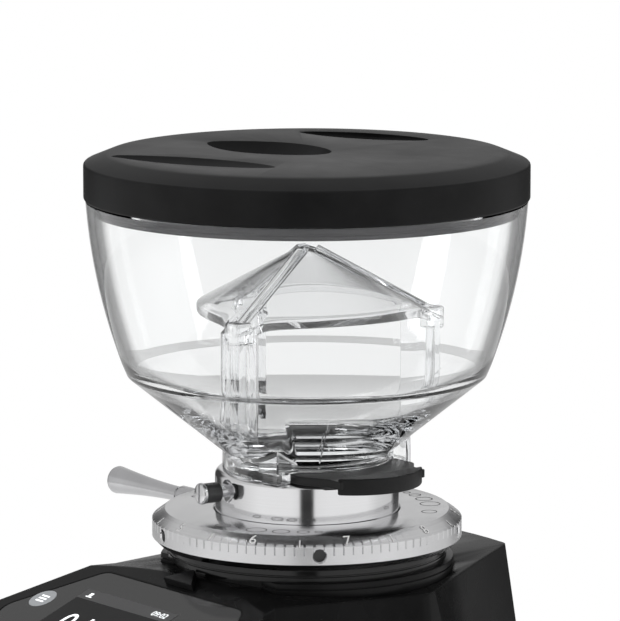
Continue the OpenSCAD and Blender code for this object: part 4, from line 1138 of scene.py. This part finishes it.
    def post(self) -> bmesh.types.BMesh:
        """A post with an outer wall, two short flanges and a long fin down its middle."""
        half, out = self.post_w / 2, self.post_r - 0.2
        tall = (self.floor_z, self.top_z)
        parts = [block((out - self.wall, out), (-half, half), tall),
                 block((self.post_r - self.flange_d, out - 0.4), (-half, self.wall - half), tall),
                 block((self.post_r - self.flange_d, out - 0.4), (half - self.wall, half), tall),
                 block((self.post_r - self.post_d, out - 0.4), (-self.wall / 2, self.wall / 2), tall)]
        return soften(cut(parts[0], parts[1:], "UNION"), 0.5, 2, 60)


@dataclass
class HopperGate:
    """The black shutter under the bowl, with a half-round grip."""

    z: float = 21.9
    thick: float = 3.6
    half_w: float = 29.0
    grip_h: float = 7.0
    grip_hw: float = 23.0
    grip_x: float = 49.6
    grip_d: float = 11.4

    def build(self) -> bpy.types.Object:
        """Builds the plate and its grip as one piece."""
        round_end = [(self.half_w * math.cos(math.radians(a)), self.half_w * math.sin(math.radians(a)))
                     for a in range(90, 271, 5)]
        narrow = self.half_w - 6
        outline = [*round_end, (30, -self.half_w), (34, -self.half_w + 0.8), (44, -narrow), (self.grip_x + 2, -narrow),
                   (self.grip_x + 2, narrow), (44, narrow), (38, self.half_w - 0.8), (36, self.half_w)]
        leaf = soften(plate(outline, self.z, self.z + self.thick), 0.4, 2)
        radius = (self.grip_hw ** 2 + self.grip_d ** 2) / (2 * self.grip_d)
        half = math.degrees(math.asin(self.grip_hw / radius))
        centre = self.grip_x + self.grip_d - radius
        bow = [(centre + radius * math.cos(math.radians(-half + 2 * half * i / 40)),
                radius * math.sin(math.radians(-half + 2 * half * i / 40))) for i in range(41)]
        top = self.z + self.thick
        grip = soften(plate(bow, top - self.grip_h + 1, top + 1), 1.5, 4)
        made = finish_mesh(cut(leaf, [grip], "UNION"), "hopper_gate_form", Body.GATE, Finishes.GATE, 30)
        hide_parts("hopper_gate")
        return made


# ---------------------------------------------------------------- collar, ring and lever


@dataclass
class Collar:
    """The polished upper burr carrier, whose neck shows as the collar."""

    outer_r: float = 39.5
    top_z: float = 21.5
    edge_r: float = 3.0
    bore_r: float = 34.2
    flange_r: float = 48.5
    lock_deg: float = -97.0
    lock_z: float = 15.0

    def build(self) -> bpy.types.Object:
        """Turns the carrier and cuts the cone round the lock screw."""
        edge = arc((self.outer_r - self.edge_r, self.top_z - self.edge_r), self.edge_r, 0, 90, 8)
        points = [(17, -36), (32.05, -36), (32.05, -38), (33.4, -38), (33.4, -11.1), (self.flange_r, -11.1),
                  (self.flange_r, -3.1), (self.outer_r, -3.1), *edge, (self.bore_r + 0.5, self.top_z),
                  (self.bore_r, self.top_z - 0.5), (self.bore_r, 2.5), (24, 2.5), (24, 0.5), (17, -11.1)]
        place = turned_to(self.lock_deg, 0, self.lock_z, lay=True)
        cone = moved(rod(3.0, self.outer_r - 3, self.outer_r + 1, 48, 5.8), place)
        hole = moved(rod(2.55, 31, 45, 48), place)
        bm = cut(lathe(points, closed=True), [cone, hole])
        made = finish_mesh(bm, "upper_burr_carrier_form", Body.CARRIER, Finishes.COLLAR, 30)
        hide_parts("upper_burr_carrier")
        return made


@dataclass
class AdjustmentRing:
    """The turned ring with its grooved band, numbers and lever holes."""

    band_r: float = 66.5
    band_h: float = 7.5
    chamfer: float = 2.8
    top_r: float = 61.0
    top_z: float = 4.0
    bore_r: float = 39.9
    skirt_r: float = 54.0
    grooves: int = 100
    groove_h: float = 3.5
    hole_r: float = 2.5
    hole_deg: float = 182.4
    lever_hole: int = 0
    number_deg: float = -95.0
    number_step: float = 36.0
    first_number: int = 5
    circle_r: float = 53.4
    circle_set: tuple[tuple[float, float], ...] = ((-79.8, 3.2), (-61.7, 4.3), (-50.0, 3.6), (-39.9, 2.5), (-33.0, 1.5))

    def profile(self) -> list[tuple[float, float]]:
        """The ring's section with its threaded skirt drawn plain."""
        low = -self.band_h - self.chamfer
        inner = self.flange_in
        return [(self.bore_r, -3), (self.bore_r, self.top_z - 0.5), (self.bore_r + 0.5, self.top_z),
                (self.top_r - 0.15, self.top_z), (self.top_r + 0.15, self.top_z - 0.12),
                (self.band_r - 0.15, 0.12), (self.band_r, -0.1),
                (self.band_r, -self.band_h), (self.band_r - self.chamfer, low),
                (self.skirt_r, low), (self.skirt_r, -26.5), (inner, -26.5), (inner, -3)]

    @property
    def flange_in(self) -> float:
        """The radius of the hollow over the carrier's flange."""
        return 49.5

    def build(self) -> bpy.types.Object:
        """Turns the ring, cuts its grooves and drills the lever's holes.

        Returns:
            The ring.
        """
        cutters = []
        wedge = self.band_r * math.pi / self.grooves * 0.30
        for i in range(self.grooves):
            bm = bmesh.new()
            bmesh.ops.create_cone(bm, cap_ends=True, segments=4, radius1=wedge, radius2=wedge, depth=self.groove_h + 1)
            turn = turned_to(self.number_deg + (i + 0.5) * 360 / self.grooves, self.band_r + wedge * 0.28,
                             -self.groove_h / 2 + 0.5)
            cutters.append(moved(bm, turn))
        ring = cut(lathe(self.profile(), 300, closed=True), [joined(cutters)])
        holes = []
        for i in range(5):
            place = turned_to(self.hole_deg + 72 * i, 0, -self.band_h / 2, lay=True)
            holes.append(moved(rod(self.hole_r, self.band_r - 12, self.band_r + 2, 40), place))
            holes.append(moved(rod(self.hole_r - 0.2, self.band_r - 1.0, self.band_r + 0.6, 40, self.hole_r + 1.1), place))
        ring = cut(ring, holes)
        made = finish_mesh(ring, "adjustment_ring_form", Body.RING, Finishes.RING, 30)
        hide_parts("adjustment_ring")
        return made

    def on_slope(self, flat: bmesh.types.BMesh, at_deg: float, lift: float) -> bmesh.types.BMesh:
        """Wraps a flat mark round the ring's sloping edge.

        Args:
            flat: a mark drawn with x across, y up the slope and z out of it.
            at_deg: the direction of its middle.
            lift: how far it stands out of the slope.

        Returns:
            The wrapped mesh.
        """
        fall = Vector((self.band_r - self.top_r, -self.top_z)).normalized()
        out = Vector((-fall.y, fall.x))
        middle = Vector(((self.band_r + self.top_r) / 2, self.top_z / 2))
        for vert in flat.verts:
            spot = middle - fall * vert.co.y + out * (vert.co.z + lift)
            turn = math.radians(at_deg) + vert.co.x / middle.x
            vert.co = (spot.x * math.cos(turn), spot.x * math.sin(turn), spot.y)
        return flat

    def text(self, word: str, size: float, depth: float) -> bmesh.types.BMesh:
        """A flat numeral with some thickness, centred on the origin.

        Args:
            word: the numeral.
            size: its height.
            depth: its thickness.

        Returns:
            The mesh.
        """
        curve = bpy.data.curves.new("mark", "FONT")
        curve.body, curve.size, curve.align_x, curve.align_y = word, size, "CENTER", "CENTER"
        curve.extrude = depth / 2
        holder = bpy.data.objects.new("mark", curve)
        bpy.context.scene.collection.objects.link(holder)
        bpy.context.view_layer.update()
        mesh = holder.evaluated_get(bpy.context.evaluated_depsgraph_get()).to_mesh()
        bm = bmesh.new()
        bm.from_mesh(mesh)
        bpy.data.objects.remove(holder)
        bpy.data.curves.remove(curve)
        return bm

    def build_marks(self) -> list[bpy.types.Object]:
        """The numbers and ticks on the slope, as a bright copy for painted highlight beside a dark copy for painted
        shadow of their engraving, dark discs as painted shade in the unused lever holes, and the sets of circles on the
        flat.

        Returns:
            The pieces.
        """
        marks, cuts = [], []
        for i in range(10):
            at = self.number_deg + self.number_step * i - self.number_step
            word = str((self.first_number + i - 1) % 10)
            # Painted shadow and highlight: each numeral and tick is drawn twice, a dark copy a little to one side for
            # the shaded wall of its engraving and a bright copy for the lit wall.
            cuts.append(self.on_slope(self.text(word, 7.0, 0.12), at - 0.22, 0.0))
            marks.append(self.on_slope(self.text(word, 7.0, 0.12), at + 0.08, 0.03))
            cuts.append(self.on_slope(block((-0.35, 0.1), (-3.0, 0.8), (-0.06, 0.06)), at + 18, 0.0))
            marks.append(self.on_slope(block((-0.15, 0.35), (-3.0, 0.8), (-0.06, 0.06)), at + 18, 0.03))
        # Painted shade: a dark disc deep in each lever hole without the lever stands in for the shade at the hole's
        # bottom.
        for i in range(5):
            if i != self.lever_hole:
                place = turned_to(self.hole_deg + 72 * i, 0, -self.band_h / 2, lay=True)
                cuts.append(moved(rod(self.hole_r - 0.02, self.band_r - 3.2, self.band_r - 2.8, 40), place))
        made = finish_mesh(joined(marks), "ring_numbers", Body.RING, Finishes.MARK_AND_HIGHLIGHT, 30)
        shade = finish_mesh(joined(cuts), "ring_number_painted_shadows", Body.RING, Finishes.ENGRAVED_AND_SHADE, 30)
        circles = []
        for third in range(3):
            for at, size in self.circle_set:
                loop = lathe([(size - 0.22, self.top_z - 0.1), (size + 0.22, self.top_z - 0.1),
                              (size + 0.22, self.top_z + 0.04), (size - 0.22, self.top_z + 0.04)], 48, closed=True)
                place = Matrix.Rotation(math.radians(at + 120 * third), 4, "Z")
                circles.append(moved(loop, place @ Matrix.Translation((self.circle_r, 0, 0))))
        rings = finish_mesh(joined(circles), "ring_circles", Body.RING, Finishes.ENGRAVED_AND_SHADE, 30)
        return [made, shade, rings]


@dataclass
class RingLever:
    """The trumpet-shaped lever screwed into the ring."""

    at_deg: float = 182.4
    z: float = -3.75
    start: float = 66.5
    tip: float = 131.48
    flare_r: float = 6.18
    waist_r: float = 3.3
    boss_l: float = 19.0
    boss_r: float = 4.1
    neck: float = 1.2
    stud_r: float = 2.4

    def build(self) -> bpy.types.Object:
        """Turns the lever and lays it outwards from the ring."""
        begin, end = self.start + 0.2, self.start + self.boss_l
        points = [(0, self.start - 10), (self.stud_r, self.start - 10), (self.stud_r, begin),
                  (self.boss_r - 0.8, begin), (self.boss_r - 0.3, begin + 0.35), (self.boss_r, begin + 1.1),
                  (self.boss_r, end - 1), (self.boss_r - 0.2, end - 0.4), (self.boss_r - 0.6, end),
                  (self.waist_r - 0.3, end), (self.waist_r - 0.3, end + self.neck - 0.1),
                  (self.waist_r - 0.05, end + self.neck)]
        reach = self.tip - end - self.neck - 1.8
        for i in range(1, 25):
            k = i / 24
            points.append((self.waist_r + (self.flare_r - self.waist_r) * k ** 1.7, end + self.neck + k * reach))
        points += [(self.flare_r, self.tip - 1.2), (self.flare_r - 0.25, self.tip - 0.6),
                   (self.flare_r - 0.9, self.tip - 0.15), (self.flare_r - 1.7, self.tip), (0, self.tip)]
        bm = moved(lathe(points, 96), turned_to(self.at_deg, 0, self.z, lay=True))
        made = finish_mesh(bm, "ring_lever_form", Body.RING, Finishes.LEVER, 40)
        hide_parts("ring_lever")
        return made


@dataclass
class LockScrew:
    """The screw that keeps the hopper in the collar: a slotted bright head on a black knob."""

    at_deg: float = -97.0
    z: float = 15.0
    inner: float = 34.0
    head: float = 53.5
    head_r: float = 4.6
    shank_r: float = 2.5

    def place(self) -> Matrix:
        """Where the screw lies."""
        return turned_to(self.at_deg, 0, self.z, lay=True)

    def build(self) -> list[bpy.types.Object]:
        """Builds the screw and its knob."""
        screw = lathe([(0, self.inner), (self.shank_r - 0.3, self.inner), (self.shank_r, self.inner + 0.5),
                       (self.shank_r, self.head - 2.2), (self.head_r - 0.3, self.head - 2.2),
                       (self.head_r, self.head - 1.9), (self.head_r, self.head - 0.8),
                       (self.head_r - 0.3, self.head - 0.3), (self.head_r - 0.9, self.head), (0, self.head)], 64)
        slot = block((-9, 9), (-0.6, 0.6), (self.head - 1.2, self.head + 1))
        screw = moved(cut(screw, [slot]), self.place())
        start = 43.9
        knob_r = self.head_r - 0.3
        knob = lathe([(self.shank_r, start), (knob_r - 0.5, start), (knob_r, start + 0.5),
                      (knob_r, self.head - 2.6), (knob_r - 0.3, self.head - 2.25), (self.shank_r, self.head - 2.25)],
                     64, closed=True)
        drill = moved(rod(0.9, 0, 9, 24), Matrix.Translation((0, 0, (start + self.head) / 2 - 1))
                      @ Matrix.Rotation(math.pi / 2, 4, "X"))
        knob = moved(cut(knob, [drill]), self.place())
        made = [finish_mesh(screw, "lock_screw_form", Body.LOCK, Finishes.SCREW_BRIGHT, 30),
                finish_mesh(knob, "lock_knob_form", Body.LOCK, Finishes.KNOB, 30)]
        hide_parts("lock_screw")
        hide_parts("lock_knob")
        return made


# ---------------------------------------------------------------- chamber, casing and head


@dataclass
class ChamberRim:
    """The black chamber rim and the flange plate under it."""

    rim_r: float = 60.0
    top: float = -10.9
    flange_z: float = -16.4
    flange_r: float = 63.0
    flange_t: float = 7.6
    flat: float = 48.3
    chamber_r: float = 57.0

    def flat_disc(self, radius: float, low: float, high: float, flat: float) -> bmesh.types.BMesh:
        """A disc with a flat on its front side."""
        reach = math.asin(flat / radius)
        start, end = -math.degrees(reach), 180 + math.degrees(reach)
        steps = 150
        points = [(radius * math.cos(math.radians(start + (end - start) * i / steps)),
                   radius * math.sin(math.radians(start + (end - start) * i / steps))) for i in range(steps + 1)]
        return plate(points, low, high)

    def build(self) -> list[bpy.types.Object]:
        """Builds the drum with its outlet, and the flange plate with its groove."""
        drum = lathe([(14, -64), (38, -64), (38, -36), (48.8, -36), (48.8, -31), (54.3, -31), (54.3, self.top - 0.3),
                      (54.6, self.top), (self.rim_r - 0.8, self.top), (self.rim_r - 0.2, self.top - 0.25),
                      (self.rim_r, self.top - 0.8), (self.rim_r, self.top - 2.6), (self.rim_r - 0.45, self.top - 2.8),
                      (self.rim_r - 0.45, self.top - 3.3), (self.rim_r, self.top - 3.5), (self.rim_r, self.flange_z),
                      (self.chamber_r, self.flange_z), (self.chamber_r, -42), (45, -42), (45, -72), (14, -72)],
                     closed=True)
        boss = block((-21, 21), (-58, -39.9), (-67, -41))
        drum = cut(drum, [boss], "UNION")
        mouth = block((-17, 17), (-59, -26), (-64, -45))
        drum = cut(drum, [mouth])
        drum_piece = finish_mesh(drum, "grinding_chamber_form", Body.HOUSING, Finishes.CHAMBER, 30)
        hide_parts("grinding_chamber")
        low = self.flange_z - self.flange_t
        disc = self.flat_disc(self.flange_r, low, self.flange_z, self.flat)
        soften(disc, 0.4, 2)
        bore = rod(self.chamber_r + 0.02, low - 1, 0, ROUND_STEPS)
        groove = self.flat_disc(self.flange_r + 2, self.flange_z - 2.9, self.flange_z - 2.2, self.flat + 2)
        core = self.flat_disc(self.flange_r - 0.7, self.flange_z - 4, self.flange_z - 1, self.flat - 0.7)
        groove = cut(groove, [core])
        disc = cut(disc, [bore, groove])
        flange = finish_mesh(disc, "flange_plate_form", Body.HOUSING, Finishes.FLANGE, 30)
        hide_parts("flange_plate")
        return [drum_piece, flange]


@dataclass
class ControlHead:
    """The sloping panel: glass, screen and touch keys."""

    slope_deg: float = 22.0
    panel_y: float = -68.0
    panel_z: float = -21.916
    glass_t: float = 1.6
    screen_x: float = -12.0
    screen_w: float = 64.0
    screen_l: float = 40.0
    screen_y: float = -17.0
    key: tuple[float, float] = (-60.0, -31.0)
    key_r: float = 6.3

    def place(self) -> Matrix:
        """The panel's own frame: x across, y up the slope, z out of it."""
        return (Matrix.Translation((0, self.panel_y, self.panel_z))
                @ Matrix.Rotation(math.radians(self.slope_deg), 4, "X"))

    def on_panel(self, bm: bmesh.types.BMesh, name: str, finish: Finish) -> bpy.types.Object:
        """Lays a flat mesh on the panel and finishes it."""
        return finish_mesh(moved(bm, self.place()), name, Body.HOUSING, finish, 30)

    def slab(self, x: tuple[float, float], y: tuple[float, float], lift: float = 0.02) -> bmesh.types.BMesh:
        """A thin plate on the glass, between two corners."""
        return block(x, y, (lift, lift + 0.05))

    def build(self) -> list[bpy.types.Object]:
        """Builds the glass, the screen's parts and the keys."""
        made = [softened_node("control_glass", Body.HOUSING, Finishes.PANEL, 0.35, 2)]
        left, right = self.screen_x - self.screen_w / 2, self.screen_x + self.screen_w / 2
        top, low = self.screen_y, self.screen_y - self.screen_l
        made.append(self.on_panel(self.slab((left, right), (low, top), 0.0), "screen_face", Finishes.SCREEN))
        made.append(self.on_panel(self.slab((left, right), (top - 7, top), 0.04), "screen_strip", Finishes.STRIP))
        icon = joined([self.slab((left + 4, left + 8), (top - 5.3, top - 4.7), 0.1),
                       self.slab((left + 5, left + 7), (top - 4.4, top - 2.2), 0.1)])
        made.append(self.on_panel(icon, "screen_icon", Finishes.INK))
        made.append(self.on_panel(self.numerals("09:02", 4.6, right - 9, top - 3.6), "screen_clock", Finishes.INK))
        made.append(self.on_panel(self.numerals("0.1", 17.0, left + 20, low + 16), "screen_digits", Finishes.INK))
        pads = []
        bars = []
        for x, y in (self.key, (self.key[0] * -1, self.key[1])):
            pads.append(moved(rod(self.key_r, 0.02, 0.07, 64), Matrix.Translation((x, y, 0))))
            for k in (-1, 0, 1):
                bars.append(self.slab((x - 2.6, x + 2.6), (y + k * 1.9 - 0.45, y + k * 1.9 + 0.45), 0.1))
        made.append(self.on_panel(joined(pads), "key_discs", Finishes.KEY))
        made.append(self.on_panel(joined(bars), "key_bars", Finishes.INK))
        return made

    def numerals(self, word: str, size: float, x: float, y: float) -> bmesh.types.BMesh:
        """Flat numerals on the glass."""
        bm = AdjustmentRing().text(word, size, 0.05)
        return moved(bm, Matrix.Translation((x, y, 0.12)))


@dataclass
class Casing:
    """The satin body shell and the black parts around it."""

    edge_mm: float = 1.8

    def build(self) -> list[bpy.types.Object]:
        """Rounds the edges of the shell and of the parts that show on it."""
        return [
            softened_node("body_casing", Body.HOUSING, Finishes.CASING, self.edge_mm, 3, 24, 0.2),
            softened_node("ring_pointer", Body.HOUSING, Finishes.POINTER, 0.3, 2),
            softened_node("head_cover", Body.HOUSING, Finishes.CASING, 0.4, 2),
            softened_node("outlet_spout", Body.HOUSING, Finishes.SPOUT, 0.6, 3),
            softened_node("portafilter_fork", Body.HOUSING, Finishes.FORK, 0.8, 3),
            softened_node("rear_cover", Body.HOUSING, Finishes.CASING, 0.3, 2),
            softened_node("power_inlet", Body.HOUSING, Finishes.GATE, 0.5, 2),
            softened_node("switch_body", Body.HOUSING, Finishes.GATE, 0.4, 2),
            softened_node("power_rocker", Body.ROCKER, Finishes.KNOB, 0.5, 2),
            softened_node("dose_button", Body.BUTTON, Finishes.LEVER, 0.6, 3),
            softened_node("base_casting", Body.HOUSING, Finishes.BASE, 1.8, 3),
            softened_node("grounds_tray", Body.TRAY, Finishes.TRAY, 0.5, 2),
            softened_node("rubber_feet", Body.HOUSING, Finishes.FOOT, 1.2, 3),
        ]


# ---------------------------------------------------------------- inner parts and studio


class InnerFinish:
    """Finishes for the CAD nodes whose own shape is right."""

    TABLE: dict[str, Finish] = {
        "upper_burr": Finishes.BURR, "lower_burr": Finishes.BURR, "upper_burr_screws": Finishes.FASTENER,
        "lower_burr_screws": Finishes.FASTENER, "carrier_nut": Finishes.FASTENER,
        "lower_burr_carrier": Finishes.CAST, "carrier_springs": Finishes.SPRING, "chamber_screws": Finishes.FASTENER,
        "shaft_seal": Finishes.SEAL, "drive_shaft": Finishes.SCREW_BRIGHT, "upper_bearing": Finishes.SCREW_BRIGHT,
        "lower_bearing": Finishes.SCREW_BRIGHT, "upper_end_cap": Finishes.CAST, "lower_end_cap": Finishes.CAST,
        "stator_core": Finishes.STACK, "stator_windings": Finishes.WINDING, "motor_rotor": Finishes.STACK,
        "cooling_fan": Finishes.GATE, "motor_bolts": Finishes.FASTENER, "run_capacitor": Finishes.CAN,
        "display_module": Finishes.SCREEN, "control_board": Finishes.BOARD, "outlet_duct": Finishes.SPOUT,
        "clump_grid": Finishes.SPRING, "fork_screws": Finishes.FASTENER, "dose_switch": Finishes.GATE,
        "cover_screws": Finishes.FASTENER, "base_cover": Finishes.COVER,
    }

    @classmethod
    def dress(cls) -> None:
        """Gives each listed node its finish."""
        for name, finish in cls.TABLE.items():
            data = frame["nodes"][name].data
            data.materials.clear()
            data.materials.append(finish.material())
            LOG.info("%s: node finished as %s", name, finish.name)


@dataclass
class Lamp:
    """A rectangular soft light aimed at a point."""

    name: str
    place: tuple[float, float, float]
    size: tuple[float, float]
    watts: float
    aim: tuple[float, float, float] = (0.0, 0.05, 0.45)

    def build(self) -> bpy.types.Object:
        """Makes the light."""
        data = bpy.data.lights.new(self.name, "AREA")
        data.shape, data.size, data.size_y, data.energy = "RECTANGLE", self.size[0], self.size[1], self.watts
        made = bpy.data.objects.new(self.name, data)
        made.location = self.place
        turn = (Vector(self.aim) - Vector(self.place)).to_track_quat("-Z", "Y")
        made.rotation_euler = turn.to_euler()
        bpy.context.scene.collection.objects.link(made)
        made.visible_glossy = False
        return made


@dataclass
class Studio:
    """A pale floor, a white room with dark flags for the metal, soft lamps and the camera."""

    floor_r: float = 2.2
    view_deg: float = 51.7
    reach: float = 1.994
    side: float = 0.00132
    rise: float = 0.4105
    pitch_deg: float = 9.15
    lens: float = 274.3
    flag_rise: tuple[float, float] = (0.30, 0.45)
    ceiling: float = 0.62
    lamps: tuple[Lamp, ...] = field(default_factory=lambda: (
        Lamp("left_softbox", (-0.75, -1.55, 1.05), (0.9, 1.2), 16.0),
        Lamp("top_softbox", (0.1, 0.2, 2.0), (1.4, 1.4), 14.0),
        Lamp("right_softbox", (1.5, 0.9, 0.9), (0.7, 1.2), 9.0),
    ))

    def build_floor(self) -> bpy.types.Object:
        """A round pale floor that fades into the room's white."""
        bm = bmesh.new()
        bmesh.ops.create_circle(bm, cap_ends=True, segments=96, radius=self.floor_r)
        mesh = bpy.data.meshes.new("floor")
        bm.to_mesh(mesh)
        bm.free()
        made = bpy.data.objects.new("floor", mesh)
        bpy.context.scene.collection.objects.link(made)
        sheet = NodeSheet("floor_paint")
        sheet.set(Base_Color=(0.86, 0.86, 0.86, 1), Roughness=0.6)
        light = sheet.node("ShaderNodeEmission", Strength=1.0)
        rays = sheet.node("ShaderNodeLightPath")
        place = sheet.node("ShaderNodeTexCoord")
        span = sheet.node("ShaderNodeVectorMath", operation="LENGTH")
        sheet.link(place.outputs["Object"], span.inputs[0])
        fade = sheet.spread(span.outputs["Value"], 0.55, 1.0, 0.5, 1.6)
        seen = sheet.node("ShaderNodeMath", operation="MULTIPLY")
        sheet.link(rays.outputs["Is Camera Ray"], seen.inputs[0])
        sheet.link(fade, seen.inputs[1])
        mix = sheet.node("ShaderNodeMixShader")
        sheet.link(seen.outputs["Value"], mix.inputs["Fac"])
        sheet.link(sheet.shader.outputs["BSDF"], mix.inputs[1])
        sheet.link(light.outputs["Emission"], mix.inputs[2])
        sheet.link(mix.outputs["Shader"], sheet.output.inputs["Surface"])
        made.data.materials.append(sheet.material)
        return made

    def build_world(self) -> None:
        """A white room that metal and clear plastic see with dark flags beside the lens."""
        world = bpy.data.worlds.new("studio")
        bpy.context.scene.world = world
        cycles = bpy.context.scene.cycles
        cycles.max_bounces, cycles.glossy_bounces, cycles.transmission_bounces = 40, 14, 24
        world.use_nodes = True
        tree = world.node_tree
        tree.nodes.clear()
        out = tree.nodes.new("ShaderNodeOutputWorld")
        place = tree.nodes.new("ShaderNodeTexCoord")
        parts = tree.nodes.new("ShaderNodeSeparateXYZ")
        tree.links.new(place.outputs["Generated"], parts.inputs["Vector"])
        turn = tree.nodes.new("ShaderNodeMath")
        turn.operation = "ARCTAN2"
        tree.links.new(parts.outputs["Y"], turn.inputs[0])
        tree.links.new(parts.outputs["X"], turn.inputs[1])
        round_ramp = tree.nodes.new("ShaderNodeMapRange")
        round_ramp.inputs["From Min"].default_value = -math.pi
        round_ramp.inputs["From Max"].default_value = math.pi
        tree.links.new(turn.outputs["Value"], round_ramp.inputs["Value"])
        ramp = tree.nodes.new("ShaderNodeValToRGB")
        tree.links.new(round_ramp.outputs["Result"], ramp.inputs["Fac"])
        ramp.color_ramp.interpolation = "LINEAR"
        stops = self.flags()
        ramp.color_ramp.elements[0].position = stops[0][0]
        ramp.color_ramp.elements[0].color = (stops[0][1],) * 3 + (1,)
        ramp.color_ramp.elements[1].position = stops[-1][0]
        ramp.color_ramp.elements[1].color = (stops[-1][1],) * 3 + (1,)
        for position, level in stops[1:-1]:
            stop = ramp.color_ramp.elements.new(position)
            stop.color = (level, level, level, 1)
        rise = tree.nodes.new("ShaderNodeMath")
        rise.operation = "ABSOLUTE"
        tree.links.new(parts.outputs["Z"], rise.inputs[0])
        away = tree.nodes.new("ShaderNodeMapRange")
        away.inputs["From Min"].default_value = self.flag_rise[0]
        away.inputs["From Max"].default_value = self.flag_rise[1]
        tree.links.new(rise.outputs["Value"], away.inputs["Value"])
        room = tree.nodes.new("ShaderNodeMix")
        room.data_type = "RGBA"
        room.inputs["B"].default_value = (self.ceiling,) * 3 + (1,)
        tree.links.new(away.outputs["Result"], room.inputs["Factor"])
        tree.links.new(ramp.outputs["Color"], room.inputs["A"])
        rays = tree.nodes.new("ShaderNodeLightPath")
        glossy = tree.nodes.new("ShaderNodeBackground")
        tree.links.new(room.outputs["Result"], glossy.inputs["Color"])
        glossy.inputs["Strength"].default_value = 1.0
        soft = tree.nodes.new("ShaderNodeBackground")
        soft.inputs["Color"].default_value = (1, 1, 1, 1)
        soft.inputs["Strength"].default_value = 0.55
        white = tree.nodes.new("ShaderNodeBackground")
        white.inputs["Color"].default_value = (1, 1, 1, 1)
        first = tree.nodes.new("ShaderNodeMixShader")
        tree.links.new(rays.outputs["Is Glossy Ray"], first.inputs["Fac"])
        tree.links.new(soft.outputs["Background"], first.inputs[1])
        tree.links.new(glossy.outputs["Background"], first.inputs[2])
        either = tree.nodes.new("ShaderNodeMath")
        either.operation = "MAXIMUM"
        tree.links.new(rays.outputs["Is Camera Ray"], either.inputs[0])
        tree.links.new(rays.outputs["Is Transmission Ray"], either.inputs[1])
        second = tree.nodes.new("ShaderNodeMixShader")
        tree.links.new(either.outputs["Value"], second.inputs["Fac"])
        tree.links.new(first.outputs["Shader"], second.inputs[1])
        tree.links.new(white.outputs["Background"], second.inputs[2])
        tree.links.new(second.outputs["Shader"], out.inputs["Surface"])

    def flags(self) -> list[tuple[float, float]]:
        """The room's brightness round the horizon, as ramp positions and levels.

        Returns:
            Pairs of position, where 0 is -180 degrees, and level.
        """
        lens_dir = self.view_deg - 90
        plan = [(-172, 0.66), (-164, 0.05), (-138, 0.05), (-130, 0.62), (-100, 0.70), (-62, 0.95), (-20, 0.95), (-9.5, 0.9), (-7.5, 0.03), (7.5, 0.03), (9.5, 0.9),
                (30, 0.95), (80, 0.95), (100, 0.75), (130, 0.66), (138, 0.05), (164, 0.05), (172, 0.66)]
        stops = []
        for offset, level in plan:
            turn = (lens_dir + offset + 180) % 360
            stops.append((turn / 360, level))
        return sorted(stops)

    def build_camera(self) -> bpy.types.Object:
        """The camera, a long lens at the height of the lid."""
        view = math.radians(self.view_deg)
        back = Vector((math.sin(view), -math.cos(view), 0))
        right = Vector((math.cos(view), math.sin(view), 0))
        data = bpy.data.cameras.new("lens")
        data.lens, data.sensor_width, data.sensor_fit = self.lens, 36.0, "AUTO"
        data.clip_start, data.clip_end = 0.05, 30.0
        made = bpy.data.objects.new("lens", data)
        made.location = Vector((DATUM.x, DATUM.y, DATUM.z + self.rise)) + back * self.reach + right * self.side
        pitch = math.radians(self.pitch_deg)
        look = -back * math.cos(pitch) - Vector((0, 0, math.sin(pitch)))
        made.rotation_euler = look.to_track_quat("-Z", "Y").to_euler()
        bpy.context.scene.collection.objects.link(made)
        bpy.context.scene.camera = made
        return made

    def build(self) -> None:
        """Sets up floor, room, lamps and camera."""
        self.build_floor()
        self.build_world()
        for lamp in self.lamps:
            lamp.build()
        self.build_camera()
        bpy.context.scene.view_settings.view_transform = "Standard"


def main() -> None:
    """Builds every piece in order; the face count of each piece is logged as it is made."""
    logging.basicConfig(level=logging.INFO, format="%(name)s: %(message)s")
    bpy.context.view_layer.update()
    Studio().build()
    lid = HopperLid()
    lid.build()
    lid.build_seal()
    bowl = HopperBowl()
    bowl.build()
    BeanGuard().build(bowl)
    HopperGate().build()
    Collar().build()
    ring = AdjustmentRing()
    ring.build()
    ring.build_marks()
    RingLever().build()
    LockScrew().build()
    ChamberRim().build()
    ControlHead().build()
    Casing().build()
    InnerFinish.dress()


if __name__ == "__main__":
    main()
